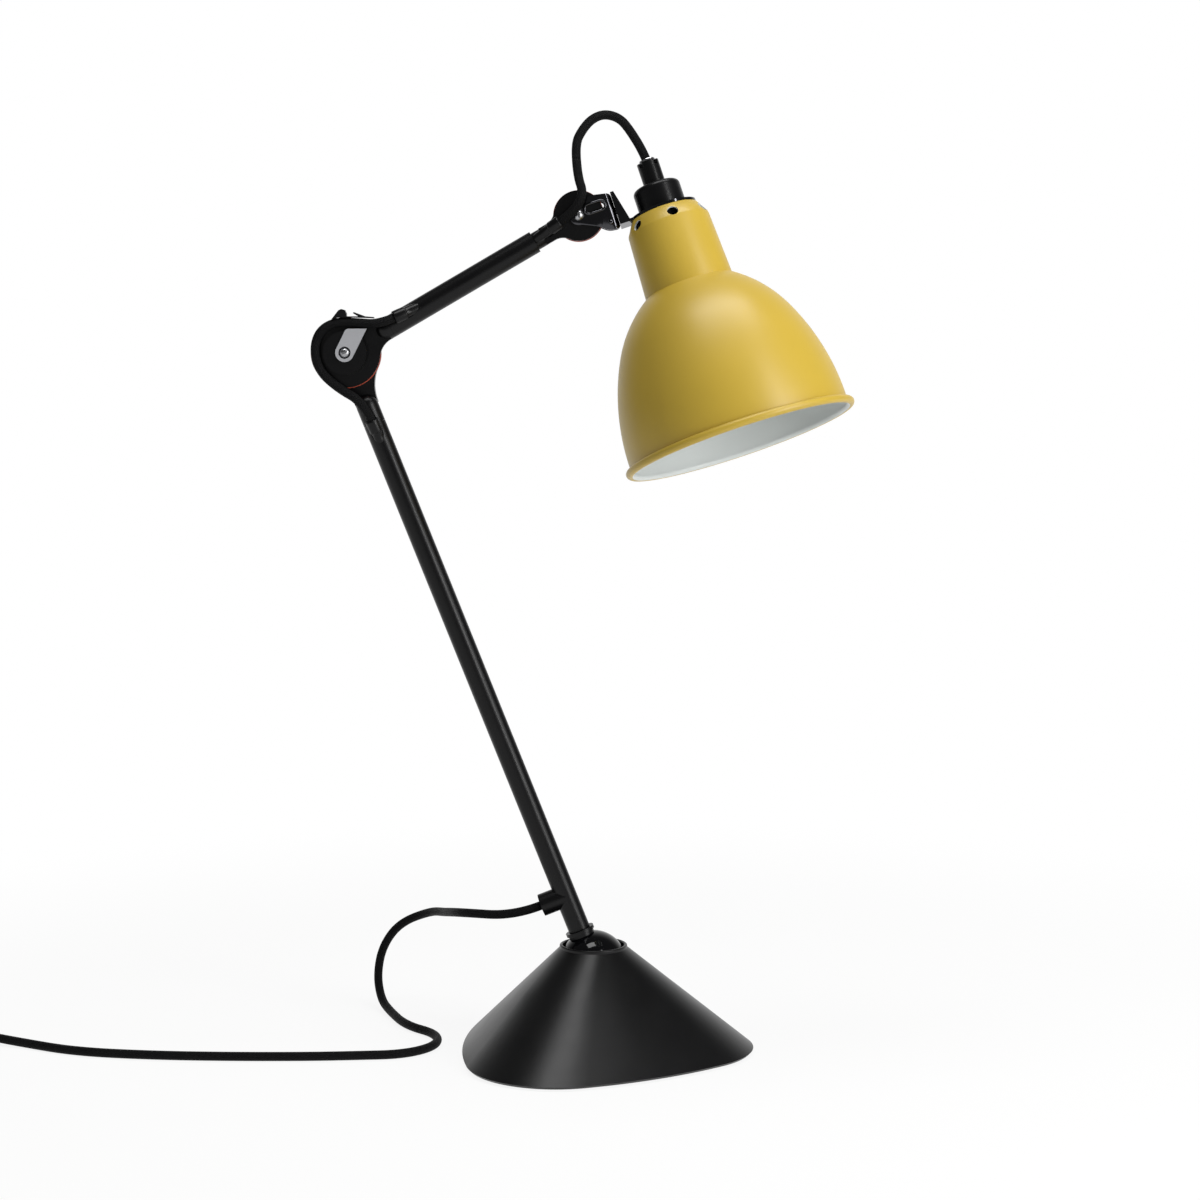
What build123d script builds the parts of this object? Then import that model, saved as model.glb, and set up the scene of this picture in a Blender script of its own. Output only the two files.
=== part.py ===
from build123d import *
import math
import os

# Two-arm desk lamp, in millimetres. The origin is the middle of the base's underside on the table,
# +Z is up and +X points to the side that the shade hangs on. Both arms lie in the plane Y = 0.

# Pose
LOWER_LEAN = 21.7  # the lower arm leans back from the vertical
UPPER_RISE = 30.2  # the upper arm rises from the level
HEAD_RISE = 18.4  # the head's stirrup rises from the level
SHADE_ROLL = 9.6  # the shade is turned towards the front about the stirrup's length

# Running and seating gaps
SEAT_GAP = 0.1
TURN_GAP = 0.05
LOOSE_GAP = 0.3

# Base
BASE_HEIGHT = 64.0
FOOT_CORNER_OUT = 42.0  # middle of each corner's arc, from the axis
FOOT_CORNER_R = 53.0
FOOT_SIDE_BACK = 155.0  # middle of each side's arc, behind the axis
FOOT_EDGE = 1.5  # the rounding of the foot's lower edge
SHELL_LIFT = 0.8
SHELL_WALL = 4.0
RIM_R = 20.0
RIM_LIP = 2.0
RIM_HOLE_R = 18.2
RIM_ROUND = 0.8
PAD_T = 1.5
PAD_INSET = 9.0
COVER_T = 2.0
BALLAST_TOP = BASE_HEIGHT - 30
CAVITY_TOP = BASE_HEIGHT - 18
BASE_SCREW_R = 2.0
BASE_SCREW_HEAD_R = 4.0
BASE_SCREW_LENGTH = 12.5
BASE_SCREW_OUT = 48.0
BASE_SCREWS = 3

# Ball joint
BALL_R = 20.0
BALL_HEIGHT = BASE_HEIGHT - 12
BALL_GAP = 0.08
SOCKET_R = 22.5
SOCKET_WALL = 4.0
SOCKET_BOTTOM = BASE_HEIGHT - 42
SOCKET_TOP = BASE_HEIGHT - 7.5
SOCKET_RELIEF = 0.6  # the shell clears the ball by this
RETAINER_BELOW = 1.5  # the retaining ring starts this far below the ball's middle
CUP_TOP_BELOW = 1.8
CUP_BOTTOM_BELOW = 14.0
SPRINGS = 3
SPRING_RISE = 0.5
SPRING_T = 1.0
SPRING_R = 21.5
SPRING_BORE_R = 16.0
PLUG_HEIGHT = 9.0
PLUG_RECESS_DEEP = 5.0
PLUG_SLOT = (30.0, 4.0, 2.0)
STEM_TOP = 37.0
COLLAR_R = 7.7
COLLAR_LIP_R = 8.6
COLLAR_LIP_T = 2.0
COLLAR_TOP = 22.5

# Arms
TUBE_R = 6.5
TUBE_WALL = 1.5
LOWER_LENGTH = 388.0  # ball to elbow
LOWER_TUBE_END = 44.0  # the tube stops this far short of the elbow
UPPER_LENGTH = 156.3  # elbow to head joint
UPPER_TUBE_START = 30.0
UPPER_TUBE_END = 29.3
SPIGOT_LONG = 15.0

# Cord of one thickness throughout
CORD_R = 2.65
BORE_GAP = 0.08
CHANNEL_GAP = 0.35
INLET_UP = 44.0
INLET_OUT = 15.5
INLET_R = 6.65
INLET_BORE_R = 4.1
FERRULE_WALL = 0.85
FERRULE_LONG = 11.0
CABLE_STRAIGHT = 11.0  # a cable leaves its ferrule straight for this long
ELBOW_CABLE_STRAIGHT = 9.0  # and the elbow's cable reaches the upper arm straight for this long

# Where the cables pass through the arms' walls: across the arm, then along it from its joint
LOWER_MOUTH_AT = (-0.3, -7.0, 41.5)
LOWER_MOUTH_INSIDE = 68.0
UPPER_MOUTH_AT = (-2.9, -7.4, 34.5)
UPPER_MOUTH_INSIDE = 62.0
HEAD_MOUTH_AT = (-2.1, -8.8, 10.6)
HEAD_MOUTH_INSIDE = 38.0

# Elbow joint
ELBOW_R = 20.1
WASHER_T = 1.2
WASHER_PROUD = 0.4
ELBOW_RING_T = 3.0
ELBOW_HUB_R = 12.6
ELBOW_HUB_T = 7.8
ELBOW_FAR_T = 6.0
ELBOW_BOSS_R = 9.0
ELBOW_BOSS_T = 1.4
LOWER_NECK_OUT = 33.0
LOWER_NECK_ROUND = 26.0
UPPER_NECK_OUT = 27.0
UPPER_NECK_ROUND = 13.0
PIVOT_R = 2.0
PIVOT_HEAD_R = 2.9
PIVOT_HEAD_T = 1.6
NUT_R = 4.2
NUT_T = 3.2
PLATE_T = 1.0
PLATE_HALF_W = 5.35
PLATE_LONG = 13.8
PLATE_HEADING = 63.4
PLATE_HOLE_R = 3.5

# Head joint and its stirrup
HEAD_R = 14.4
HEAD_DISC_T = 4.8
HEAD_NECK_W = 10.5
HEAD_NECK_ROUND = 9.0
HEAD_NOSE_OUT = 24.0
STIRRUP_T = 1.4
STIRRUP_REACH = 21.1  # pivot to the crosspiece's front
STIRRUP_END_R = 5.5
STIRRUP_TOP = 6.5  # how far the crosspiece stands above the pivot, and hangs below it
STIRRUP_FOOT = 14.5
STIRRUP_SLOT = (10.3, 1.5)
STIRRUP_SLOT_LONG = 11.0
STIRRUP_SLOT_W = 4.2
SWIVEL_DOWN = 4.0  # the shade's swivel axis lies this far below the pivot's
RIVET_R = 2.0
RIVET_HEAD_R = 3.4
RIVET_HEAD_T = 1.3
SPOT_RIVET_R = 1.5
SPOT_RIVET_AT = (16.6, -9.6)

# Shade and lampholder, from the middle of the shade's top plane
SHADE_OUT = 47.4
SHADE_DOWN = 13.7
SHADE_WALL = 1.0
SHADE_TOP_R = 19.8
SHADE_HOLE_R = 14.0
SHOULDER_R = 24.0
SHOULDER_DOWN = 7.6
NECK_R = 26.1
NECK_DOWN = 46.0
BELL_MID = (51.4, -74.9)
BELL_R = 65.2
BELL_LOW_DOWN = 134.0
SHADE_HEIGHT = 141.0
BEAD_R = 2.3
BEAD_OUT = 66.3
VENT_R = 3.2
VENT_DOWN = 5.4
VENT_TURN = -80.0
VENTS = 6
RING_R = 19.5
RING_T = 1.5
BRACKET_W = 14.0
CAP_R = 13.9
CAP_T = 15.0
CAP_ROUND = 3.0
CAP_WALL = 1.5
GRIP_R = 6.4
GRIP_T = 14.2
GRIP_BORE_R = 5.0
GRIP_NOTCHES = 4
GRIP_NOTCH = (2.6, 3.0)
HOLDER_R = 13.4
HOLDER_DOWN = 32.0
SOCKET_BORE_R = 8.6
CONTACT_SHELL_R = 8.5
CONTACT_SHELL_T = 0.6
CONTACT_T = 0.8
SHADE_RING_R = 18.0
SHADE_RING_T = 5.0
BULB_CAP_R = 7.4
BULB_CAP_DEEP = 22.0
BULB_R = 22.0
BULB_MID_DOWN = 62.0
BULB_NECK_R = 8.6

# Inline switch and plug
SWITCH_LONG = 60.0
SWITCH_W = 26.0
SWITCH_H = 17.0
SWITCH_WALL = 2.0
SWITCH_ROUND = 5.0
SWITCH_EXIT = 5.5  # height of the lead through the switch
SWITCH_SCREW_R = 1.4
SWITCH_SCREW_OUT = 22.0
ROCKER = (15.0, 9.0, 6.0)
ROCKER_TILT = 9.0
ROCKER_PIN_R = 1.0
PLUG_BODY = (38.0, 35.0)
PLUG_ROUND = 6.0
RELIEF_LONG = 28.0
RELIEF_R = 5.4
PIN_R = 2.0
PIN_LONG = 19.0
PIN_APART = 19.0

# Mains lead: the route's points on the table and from the inlet down, and the put-away coil
LEAD_DROP = [
    (-78.6, 10.5, 80.5),
    (-88.2, 41.3, 74.2),
    (-92.2, 75.6, 66.8),
    (-103.3, 105.2, 62.3),
    (-123.8, 115.9, 51.3),
    (-135.0, 116.3, 36.0),
    (-138.0, 110.3, 18.7),
    (-134.4, 97.3, 6.1),
    (-127.4, 80.5, 2.7),
    (-114.9, 46.0, 2.7),
]
LEAD_FLOOR = [
    (-94.3, 25.5, 2.7),
    (-92.8, -0.9, 2.7),
    (-110.8, -20.5, 2.7),
    (-139.9, -23.2, 2.7),
    (-165.0, -25.2, 2.7),
    (-210.0, -25.4, 2.7),
    (-257.0, -22.8, 2.7),
    (-305.0, -14.5, 2.7),
    (-342.0, 6.3, 2.7),
    (-366.0, 12.5, SWITCH_EXIT),
]
INLET_STRAIGHT = 17.5
SWITCH_START = (-386.0, 12.5)
COIL_R = 36.0
COIL_STEP = 2.9
COIL_HALF_TURNS = 5
COIL_LAYER = 5.8
COIL_BOTTOM = 3.3
LINK_LONG = 48.0
TIE_W = 6.0
TIE_T = 0.5
TIE_GAP = 0.45

# The elbow's cable, from the elbow's middle, and the head's cable, from the head joint's middle
ELBOW_CABLE = [
    (-4.5, -6.7, -20.2),
    (-15.0, -6.6, -10.4),
    (-18.0, -6.6, 2.0),
    (-14.6, -6.6, 12.6),
    (-5.2, -6.7, 17.6),
    (8.0, -7.2, 16.8),
]
HEAD_CABLE_LOW = [
    (2.8, -12.2, 12.4),
    (-0.5, -9.6, 21.9),
]
HEAD_CABLE_SPLIT = (-1.2, -7.9, 31.4)
HEAD_CABLE_HIGH = [
    (-1.9, -6.2, 40.9),
    (2.2, -4.7, 48.9),
    (7.6, -3.3, 55.1),
    (14.8, -1.7, 58.1),
    (23.2, 0.2, 56.1),
    (29.0, 1.9, 50.0),
]

BALL = Vector(0, 0, BALL_HEIGHT)
LIP_FROM = BASE_HEIGHT - RIM_LIP
FOOT_FULL = SHELL_LIFT + FOOT_EDGE  # the height at which the foot is widest
COVER_TOP = PAD_T + COVER_T
TUBE_BORE = TUBE_R - TUBE_WALL
STEM_R = TUBE_BORE - BORE_GAP
HALF_WASHER = WASHER_T / 2
FERRULE_R = CORD_R + BORE_GAP + FERRULE_WALL
LEAN = math.radians(LOWER_LEAN)
RISE = math.radians(UPPER_RISE)
TILT = math.radians(HEAD_RISE)
ROLL = math.radians(SHADE_ROLL)
LOWER = Plane(BALL, x_dir=(math.cos(LEAN), 0, math.sin(LEAN)), z_dir=(-math.sin(LEAN), 0, math.cos(LEAN)))
ELBOW = LOWER.from_local_coords(Vector(0, 0, LOWER_LENGTH))
UPPER = Plane(ELBOW, x_dir=(math.sin(RISE), 0, -math.cos(RISE)), z_dir=(math.cos(RISE), 0, math.sin(RISE)))
HEAD = UPPER.from_local_coords(Vector(0, 0, UPPER_LENGTH))
ALONG = Vector(math.cos(TILT), 0, math.sin(TILT))
ABOVE = Vector(-math.sin(TILT), 0, math.cos(TILT))
ROLLED_UP = ABOVE * math.cos(ROLL) + Vector(0, math.sin(ROLL), 0)
STIRRUP = Plane(HEAD, x_dir=ALONG, z_dir=ABOVE)
SWIVEL = Plane(HEAD - ABOVE * SWIVEL_DOWN, x_dir=ALONG, z_dir=ROLLED_UP)
SHADE = Plane(
    SWIVEL.from_local_coords(Vector(SHADE_OUT, 0, SWIVEL_DOWN - SHADE_DOWN)), x_dir=ALONG, z_dir=ROLLED_UP
)
INLET = Vector(-INLET_OUT, 0, INLET_UP)
LOWER_MOUTH = Vector(LOWER_MOUTH_AT[0], LOWER_MOUTH_AT[1], LOWER_LENGTH - LOWER_MOUTH_AT[2])
LOWER_MOUTH_FROM = Vector(0, 0, LOWER_LENGTH - LOWER_MOUTH_INSIDE)
UPPER_MOUTH = Vector(*UPPER_MOUTH_AT)
UPPER_MOUTH_FROM = Vector(0, 0, UPPER_MOUTH_INSIDE)
HEAD_MOUTH = Vector(HEAD_MOUTH_AT[0], HEAD_MOUTH_AT[1], UPPER_LENGTH - HEAD_MOUTH_AT[2])
HEAD_MOUTH_FROM = Vector(0, 0, UPPER_LENGTH - HEAD_MOUTH_INSIDE)
GRIP_MOUTH = Vector(0, 0, RING_T + CAP_T + GRIP_T)


def polar(distance, degrees):
    """A point in the plane at a distance and angle from the origin."""
    return (distance * math.cos(math.radians(degrees)), distance * math.sin(math.radians(degrees)))


def turned(*points):
    """A solid of revolution about Z from (radius, height) points."""
    return revolve(Plane.XZ * make_face(Polyline(*points, close=True)), Axis.Z)


def ring(outer, inner, low, high):
    """A plain ring about Z."""
    return turned((inner, low), (outer, low), (outer, high), (inner, high))


def rod(radius, start, end):
    """A round bar between two points."""
    start, end = Vector(*start), Vector(*end)
    run = end - start
    return Plane(start, z_dir=run).location * Cylinder(
        radius, run.length, align=(Align.CENTER, Align.CENTER, Align.MIN)
    )


def across(radius, low, high):
    """A round bar along Y."""
    return rod(radius, (0, low, 0), (0, high, 0))


def plate(profile, low, high):
    """A flat profile in (x, z), from Y = low to Y = high."""
    return extrude(Plane.XZ.offset(-high) * profile, high - low)


def corner_radii(points, split_at):
    """The radius of each corner of a cord's route: as large as its two runs allow."""
    runs = [after - before for before, after in zip(points, points[1:])]
    reach = [0.45 * run.length for run in runs]
    if split_at is not None:
        reach[split_at] *= 2
    radii = []
    for k in range(len(runs) - 1):
        half_turn = math.radians(runs[k].get_angle(runs[k + 1])) / 2
        radii.append(min(reach[k], reach[k + 1]) / math.tan(half_turn))
    return radii


def cord(name, points, radius=CORD_R, split_at=None):
    """A round cord along straight runs joined by tangent arcs; prints its radii and length.

    The run split_at is half of a run that goes on in the next piece.
    """
    points = [Vector(p) for p in points]
    radii = corner_radii(points, split_at)
    path = FilletPolyline(*points, radius=radii)
    tube = sweep(Plane(path @ 0, z_dir=path % 0) * Circle(radius), path=path)
    share = tube.volume / (math.pi * radius**2 * path.length)
    print(f"{name}: radii {[round(r, 1) for r in radii]}, length {path.length:.1f}, volume share {share:.4f}")
    return tube


def foot_outline(share, inset=0.0):
    """The base's cross-section: three-cornered at the foot (share 0), round at the rim (share 1)."""
    third = math.radians(60)
    run_x = FOOT_CORNER_OUT + FOOT_SIDE_BACK * math.cos(third)
    run_y = FOOT_SIDE_BACK * math.sin(third)
    corner_half = math.degrees(math.atan2(run_y, run_x))
    side_r = FOOT_CORNER_R + math.hypot(run_x, run_y)
    keep = 1 - share
    arcs = []
    for corner in (0, 120, 240):
        corner_mid = polar(keep * FOOT_CORNER_OUT, corner)
        corner_r = keep * FOOT_CORNER_R + share * RIM_R - inset
        arcs.append(CenterArc(corner_mid, corner_r, corner - corner_half, 2 * corner_half))
        side_mid = polar(-keep * FOOT_SIDE_BACK, corner + 60)
        wide_r = keep * side_r + share * RIM_R - inset
        arcs.append(CenterArc(side_mid, wide_r, corner + corner_half, 120 - 2 * corner_half))
    return make_face(arcs)


def share_at(height):
    """How far up the base's slope a height lies."""
    return (height - FOOT_FULL) / (LIP_FROM - FOOT_FULL)


def base_shell():
    """The cast shell with its rounded rim, hollow below and bored for the ball's socket."""
    skin = loft(
        [
            Pos(0, 0, SHELL_LIFT) * foot_outline(0, FOOT_EDGE),
            Pos(0, 0, FOOT_FULL) * foot_outline(0),
            Pos(0, 0, LIP_FROM) * foot_outline(1),
        ],
        ruled=True,
    )
    hollow = loft(
        [
            foot_outline(0, SHELL_WALL),
            Pos(0, 0, FOOT_FULL) * foot_outline(0, SHELL_WALL),
            Pos(0, 0, CAVITY_TOP) * foot_outline(share_at(CAVITY_TOP), SHELL_WALL),
        ],
        ruled=True,
    )
    lip = fillet(ring(RIM_R, RIM_HOLE_R, LIP_FROM, BASE_HEIGHT).edges().group_by(Axis.Z)[-1], RIM_ROUND)
    socket = ring(SOCKET_R + SOCKET_WALL, SOCKET_R, SOCKET_BOTTOM, CAVITY_TOP)
    bore = turned((0, SOCKET_BOTTOM), (SOCKET_R, SOCKET_BOTTOM), (SOCKET_R, SOCKET_TOP), (0, SOCKET_TOP))
    hole = turned((0, SOCKET_TOP), (RIM_HOLE_R, SOCKET_TOP), (RIM_HOLE_R, BASE_HEIGHT), (0, BASE_HEIGHT))
    relief = Pos(BALL) * Sphere(BALL_R + SOCKET_RELIEF)
    return skin - hollow + socket - bore - hole - relief + lip


def screw_places():
    """Where the base's screws stand, as locations on the plane Z = 0."""
    return [Pos(*polar(BASE_SCREW_OUT, 60 + 360 * k / BASE_SCREWS), 0) for k in range(BASE_SCREWS)]


def countersunk(gap=0.0):
    """One countersunk screw standing in the cover plate, head down."""
    return turned(
        (0, PAD_T),
        (BASE_SCREW_HEAD_R + gap, PAD_T),
        (BASE_SCREW_R + gap, COVER_TOP),
        (BASE_SCREW_R + gap, PAD_T + BASE_SCREW_LENGTH + gap),
        (0, PAD_T + BASE_SCREW_LENGTH + gap),
    )


def base_parts():
    """The base's shell, weight, cover plate, foot pad and screws."""
    inset = SHELL_WALL + LOOSE_GAP
    slab = loft(
        [
            Pos(0, 0, COVER_TOP) * foot_outline(share_at(COVER_TOP), inset),
            Pos(0, 0, BALLAST_TOP) * foot_outline(share_at(BALLAST_TOP), inset),
        ],
        ruled=True,
    )
    well = SOCKET_R + SOCKET_WALL + LOOSE_GAP
    ballast = slab - ring(well, 0, COVER_TOP, BALLAST_TOP)
    cover = Pos(0, 0, PAD_T) * extrude(foot_outline(share_at(COVER_TOP), inset), COVER_T)
    holes = [place * countersunk(SEAT_GAP) for place in screw_places()]
    save("base_shell", base_shell())
    save("base_ballast", ballast - holes)
    save("base_cover_plate", cover - holes)
    save("foot_pad", extrude(foot_outline(0, PAD_INSET), PAD_T))
    save("base_screws", Compound([place * countersunk() for place in screw_places()]))


def ball_socket_parts():
    """What holds the ball in the base: retaining ring, friction cup, disc springs and plug."""
    hollow = Sphere(BALL_R + BALL_GAP)
    retainer = ring(SOCKET_R - TURN_GAP, 0, -RETAINER_BELOW, SOCKET_TOP - BALL_HEIGHT) - hollow
    cup = ring(SOCKET_R - LOOSE_GAP, 0, -CUP_BOTTOM_BELOW, -CUP_TOP_BELOW) - hollow
    save("ball_retainer", Pos(BALL) * retainer)
    save("friction_cup", Pos(BALL) * cup)
    cup_bottom = BALL_HEIGHT - CUP_BOTTOM_BELOW
    height = SPRING_RISE + SPRING_T
    springs = []
    for k in range(SPRINGS):
        low = cup_bottom - (k + 1) * (height + SEAT_GAP)
        inner, outer = (SPRING_RISE, 0) if k % 2 else (0, SPRING_RISE)
        springs.append(
            turned(
                (SPRING_BORE_R, low + inner),
                (SPRING_R, low + outer),
                (SPRING_R, low + outer + SPRING_T),
                (SPRING_BORE_R, low + inner + SPRING_T),
            )
        )
    save("disc_springs", Compound(springs))
    top = cup_bottom - SPRINGS * (height + SEAT_GAP) - SEAT_GAP
    body = ring(SOCKET_R - TURN_GAP, 0, top - PLUG_HEIGHT, top)
    recess = ring(SPRING_BORE_R - LOOSE_GAP, 0, top - PLUG_RECESS_DEEP, top)
    slot = Pos(0, 0, top - PLUG_HEIGHT + PLUG_SLOT[2] / 2) * Box(*PLUG_SLOT)
    save("socket_plug", body - recess - slot)


def ball_parts():
    """The ball with the stem that carries the arm, and the collar on it."""
    ball = Sphere(BALL_R) + rod(STEM_R, (0, 0, BALL_R - 5), (0, 0, STEM_TOP))
    save("swivel_ball", LOWER.location * ball)
    lip_from = COLLAR_TOP - COLLAR_LIP_T
    bore = STEM_R + TURN_GAP
    blank = turned(
        (bore, BALL_R / 2),
        (COLLAR_R, BALL_R / 2),
        (COLLAR_R, lip_from),
        (COLLAR_LIP_R, lip_from),
        (COLLAR_LIP_R, COLLAR_TOP),
        (bore, COLLAR_TOP),
    )
    save("ball_collar", LOWER.location * (blank - Sphere(BALL_R + TURN_GAP)))


def mouth_rod(mouth, source, radius, length):
    """A bar from a cable's mouth back into the arm, along the way that the cable leaves."""
    inward = (source - mouth).normalized()
    return rod(radius, mouth, mouth + inward * length)


def ferrule(mouth, source):
    """A bush that a cable leaves the arm through."""
    outer = mouth_rod(mouth, source, FERRULE_R, FERRULE_LONG)
    return outer - mouth_rod(mouth, source, CORD_R + BORE_GAP, FERRULE_LONG)


def ferrule_hole(mouth, source):
    """The hole in the arm that takes a ferrule and clears the cable on its way out."""
    way_out = mouth_rod(mouth, mouth * 2 - source, CORD_R + CHANNEL_GAP, CABLE_STRAIGHT)
    return mouth_rod(mouth, source, FERRULE_R + TURN_GAP, FERRULE_LONG + TURN_GAP) + way_out


def lower_lead_points():
    """The lead inside the lower arm, in the arm's own frame."""
    bend = CORD_R + 1
    return [
        INLET,
        Vector(-bend, 0, INLET_UP),
        Vector(0, 0, INLET_UP + bend),
        LOWER_MOUTH_FROM,
        LOWER_MOUTH,
    ]


def upper_lead_points():
    """The lead inside the upper arm, in the arm's own frame."""
    return [UPPER_MOUTH, UPPER_MOUTH_FROM, HEAD_MOUTH_FROM, HEAD_MOUTH]


def knuckle(radius, neck_w, neck_long, rounding, heading):
    """The outline of a joint's disc with its neck, in (x, z) about the pivot."""
    outline = Circle(radius) + Pos(neck_long / 2, 0) * Rectangle(neck_long, neck_w)
    corners = outline.vertices().filter_by(lambda v: abs(math.hypot(v.X, v.Y) - radius) < 0.01)
    return Rot(0, 0, heading) * fillet(corners, rounding)


def shank(plane, radius, nose, root, spigot_to, spigot_r):
    """The round end of a knuckle: a domed nose, a shoulder as wide as the neck and a spigot in the tube."""
    dome = Pos(0, 0, nose) * Sphere(radius) - rod(2 * radius, (0, 0, nose), (0, 0, nose + 2 * radius))
    body = dome + rod(radius, (0, 0, nose), (0, 0, root))
    return plane.location * (body + rod(spigot_r, (0, 0, root), (0, 0, spigot_to)))


def lower_arm_parts():
    """The lower arm's tube, inlet, lead, and its half of the elbow."""
    tube_top = LOWER_LENGTH - LOWER_TUBE_END
    tube = ring(TUBE_R, TUBE_BORE, COLLAR_TOP + SEAT_GAP, tube_top)
    inlet_bore = rod(INLET_BORE_R, INLET, (0, 0, INLET_UP))
    stub = rod(INLET_R, INLET, (0, 0, INLET_UP)) - inlet_bore - rod(TUBE_R, (0, 0, 0), (0, 0, tube_top))
    bush = rod(INLET_BORE_R - TURN_GAP, INLET, (-TUBE_BORE, 0, INLET_UP))
    bush -= rod(CORD_R + BORE_GAP, INLET, (-TUBE_BORE, 0, INLET_UP))
    hole = ferrule_hole(LOWER_MOUTH, LOWER_MOUTH_FROM)
    channel = cord("lower channel", lower_lead_points(), CORD_R + CHANNEL_GAP)
    save("lower_tube", LOWER.location * (tube - inlet_bore - hole - channel))
    save("lead_inlet", LOWER.location * stub)
    save("inlet_bush", LOWER.location * bush)
    save("lower_ferrule", LOWER.location * ferrule(LOWER_MOUTH, LOWER_MOUTH_FROM))
    save("lower_arm_lead", LOWER.location * cord("lower_arm_lead", lower_lead_points()))

    far = HALF_WASHER + ELBOW_FAR_T
    outline = knuckle(ELBOW_R, 2 * TUBE_R, LOWER_NECK_OUT, LOWER_NECK_ROUND, LOWER_LEAN - 90)
    disc = plate(outline, HALF_WASHER, far) + across(ELBOW_BOSS_R, HALF_WASHER, far + ELBOW_BOSS_T)
    disc -= across(PIVOT_R + TURN_GAP, 0, far + ELBOW_BOSS_T)
    down = Plane(ELBOW, x_dir=LOWER.x_dir, z_dir=-LOWER.z_dir)
    end = shank(
        down, TUBE_R, LOWER_NECK_OUT, LOWER_TUBE_END - SEAT_GAP, LOWER_TUBE_END + SPIGOT_LONG, STEM_R
    )
    save("elbow_lower_knuckle", Pos(ELBOW) * disc + end - LOWER.location * hole - LOWER.location * channel)


def upper_arm_parts():
    """The upper arm's tube, lead and ferrules, with its half of each joint."""
    tube = ring(TUBE_R, TUBE_BORE, UPPER_TUBE_START, UPPER_LENGTH - UPPER_TUBE_END)
    hole = ferrule_hole(UPPER_MOUTH, UPPER_MOUTH_FROM)
    head_hole = ferrule_hole(HEAD_MOUTH, HEAD_MOUTH_FROM)
    channel = cord("upper channel", upper_lead_points(), CORD_R + CHANNEL_GAP)
    save("upper_tube", UPPER.location * (tube - hole - head_hole - channel))
    save("upper_ferrule", UPPER.location * ferrule(UPPER_MOUTH, UPPER_MOUTH_FROM))
    save("head_ferrule", UPPER.location * ferrule(HEAD_MOUTH, HEAD_MOUTH_FROM))
    save("upper_arm_lead", UPPER.location * cord("upper_arm_lead", upper_lead_points()))
    channel = UPPER.location * channel

    outline = knuckle(ELBOW_R, 2 * TUBE_R, UPPER_NECK_OUT, UPPER_NECK_ROUND, UPPER_RISE)
    disc = plate(outline, -HALF_WASHER - ELBOW_RING_T, -HALF_WASHER)
    disc += across(ELBOW_HUB_R, -HALF_WASHER - ELBOW_HUB_T, -HALF_WASHER)
    disc -= across(PIVOT_R + TURN_GAP, -HALF_WASHER - ELBOW_HUB_T, 0)
    near_end = shank(
        UPPER, TUBE_R, UPPER_NECK_OUT, UPPER_TUBE_START - SEAT_GAP, UPPER_TUBE_START + SPIGOT_LONG, STEM_R
    )
    save("elbow_upper_knuckle", Pos(ELBOW) * disc + near_end - UPPER.location * hole - channel)

    outline = knuckle(HEAD_R, HEAD_NECK_W, HEAD_NOSE_OUT, HEAD_NECK_ROUND, UPPER_RISE + 180)
    disc = plate(outline, -HALF_WASHER - HEAD_DISC_T, -HALF_WASHER)
    disc -= across(PIVOT_R + TURN_GAP, -HALF_WASHER - HEAD_DISC_T, 0)
    back = Plane(HEAD, x_dir=UPPER.x_dir, z_dir=-UPPER.z_dir)
    far_end = shank(
        back,
        HEAD_NECK_W / 2,
        HEAD_NOSE_OUT,
        UPPER_TUBE_END - SEAT_GAP,
        UPPER_TUBE_END + SPIGOT_LONG,
        STEM_R,
    )
    save("head_knuckle", Pos(HEAD) * disc + far_end - UPPER.location * head_hole - channel)


def washer(radius):
    """A friction washer between two knuckles, at the origin."""
    return across(radius + WASHER_PROUD, -HALF_WASHER, HALF_WASHER) - across(
        PIVOT_R + TURN_GAP, -HALF_WASHER, HALF_WASHER
    )


def pivot_screw(head_at, end_at):
    """A domed screw along Y with its head's underside at head_at."""
    dome = Pos(0, head_at, 0) * scale(Sphere(PIVOT_HEAD_R), (1, PIVOT_HEAD_T / PIVOT_HEAD_R, 1))
    dome -= across(PIVOT_HEAD_R + 1, head_at, head_at + PIVOT_HEAD_T + 1)
    return dome + across(PIVOT_R, head_at, end_at)


def nut(at):
    """A hexagonal nut along Y, with its inner face at at."""
    blank = plate(RegularPolygon(NUT_R, 6), at, at + NUT_T)
    return blank - across(PIVOT_R + TURN_GAP, at, at + NUT_T)


def tension_plate():
    """The bright plate under the elbow's screw: a round end, slanted sides and a level top."""
    heading = math.radians(PLATE_HEADING)
    side = Vector(math.sin(heading), -math.cos(heading)) * PLATE_HALF_W
    ahead = Vector(math.cos(heading), math.sin(heading))
    left_top = side * -1 + ahead * ((PLATE_LONG + side.Y) / ahead.Y)
    right_top = side + ahead * ((PLATE_LONG - side.Y) / ahead.Y)
    outline = make_face(Polyline(side * -1, left_top, right_top, side, close=True))
    outline = fillet(outline.vertices().sort_by(Axis.Y)[-2:].sort_by(Axis.X)[0], 2.4)
    return outline + Circle(PLATE_HALF_W) - Circle(PLATE_HOLE_R)


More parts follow.
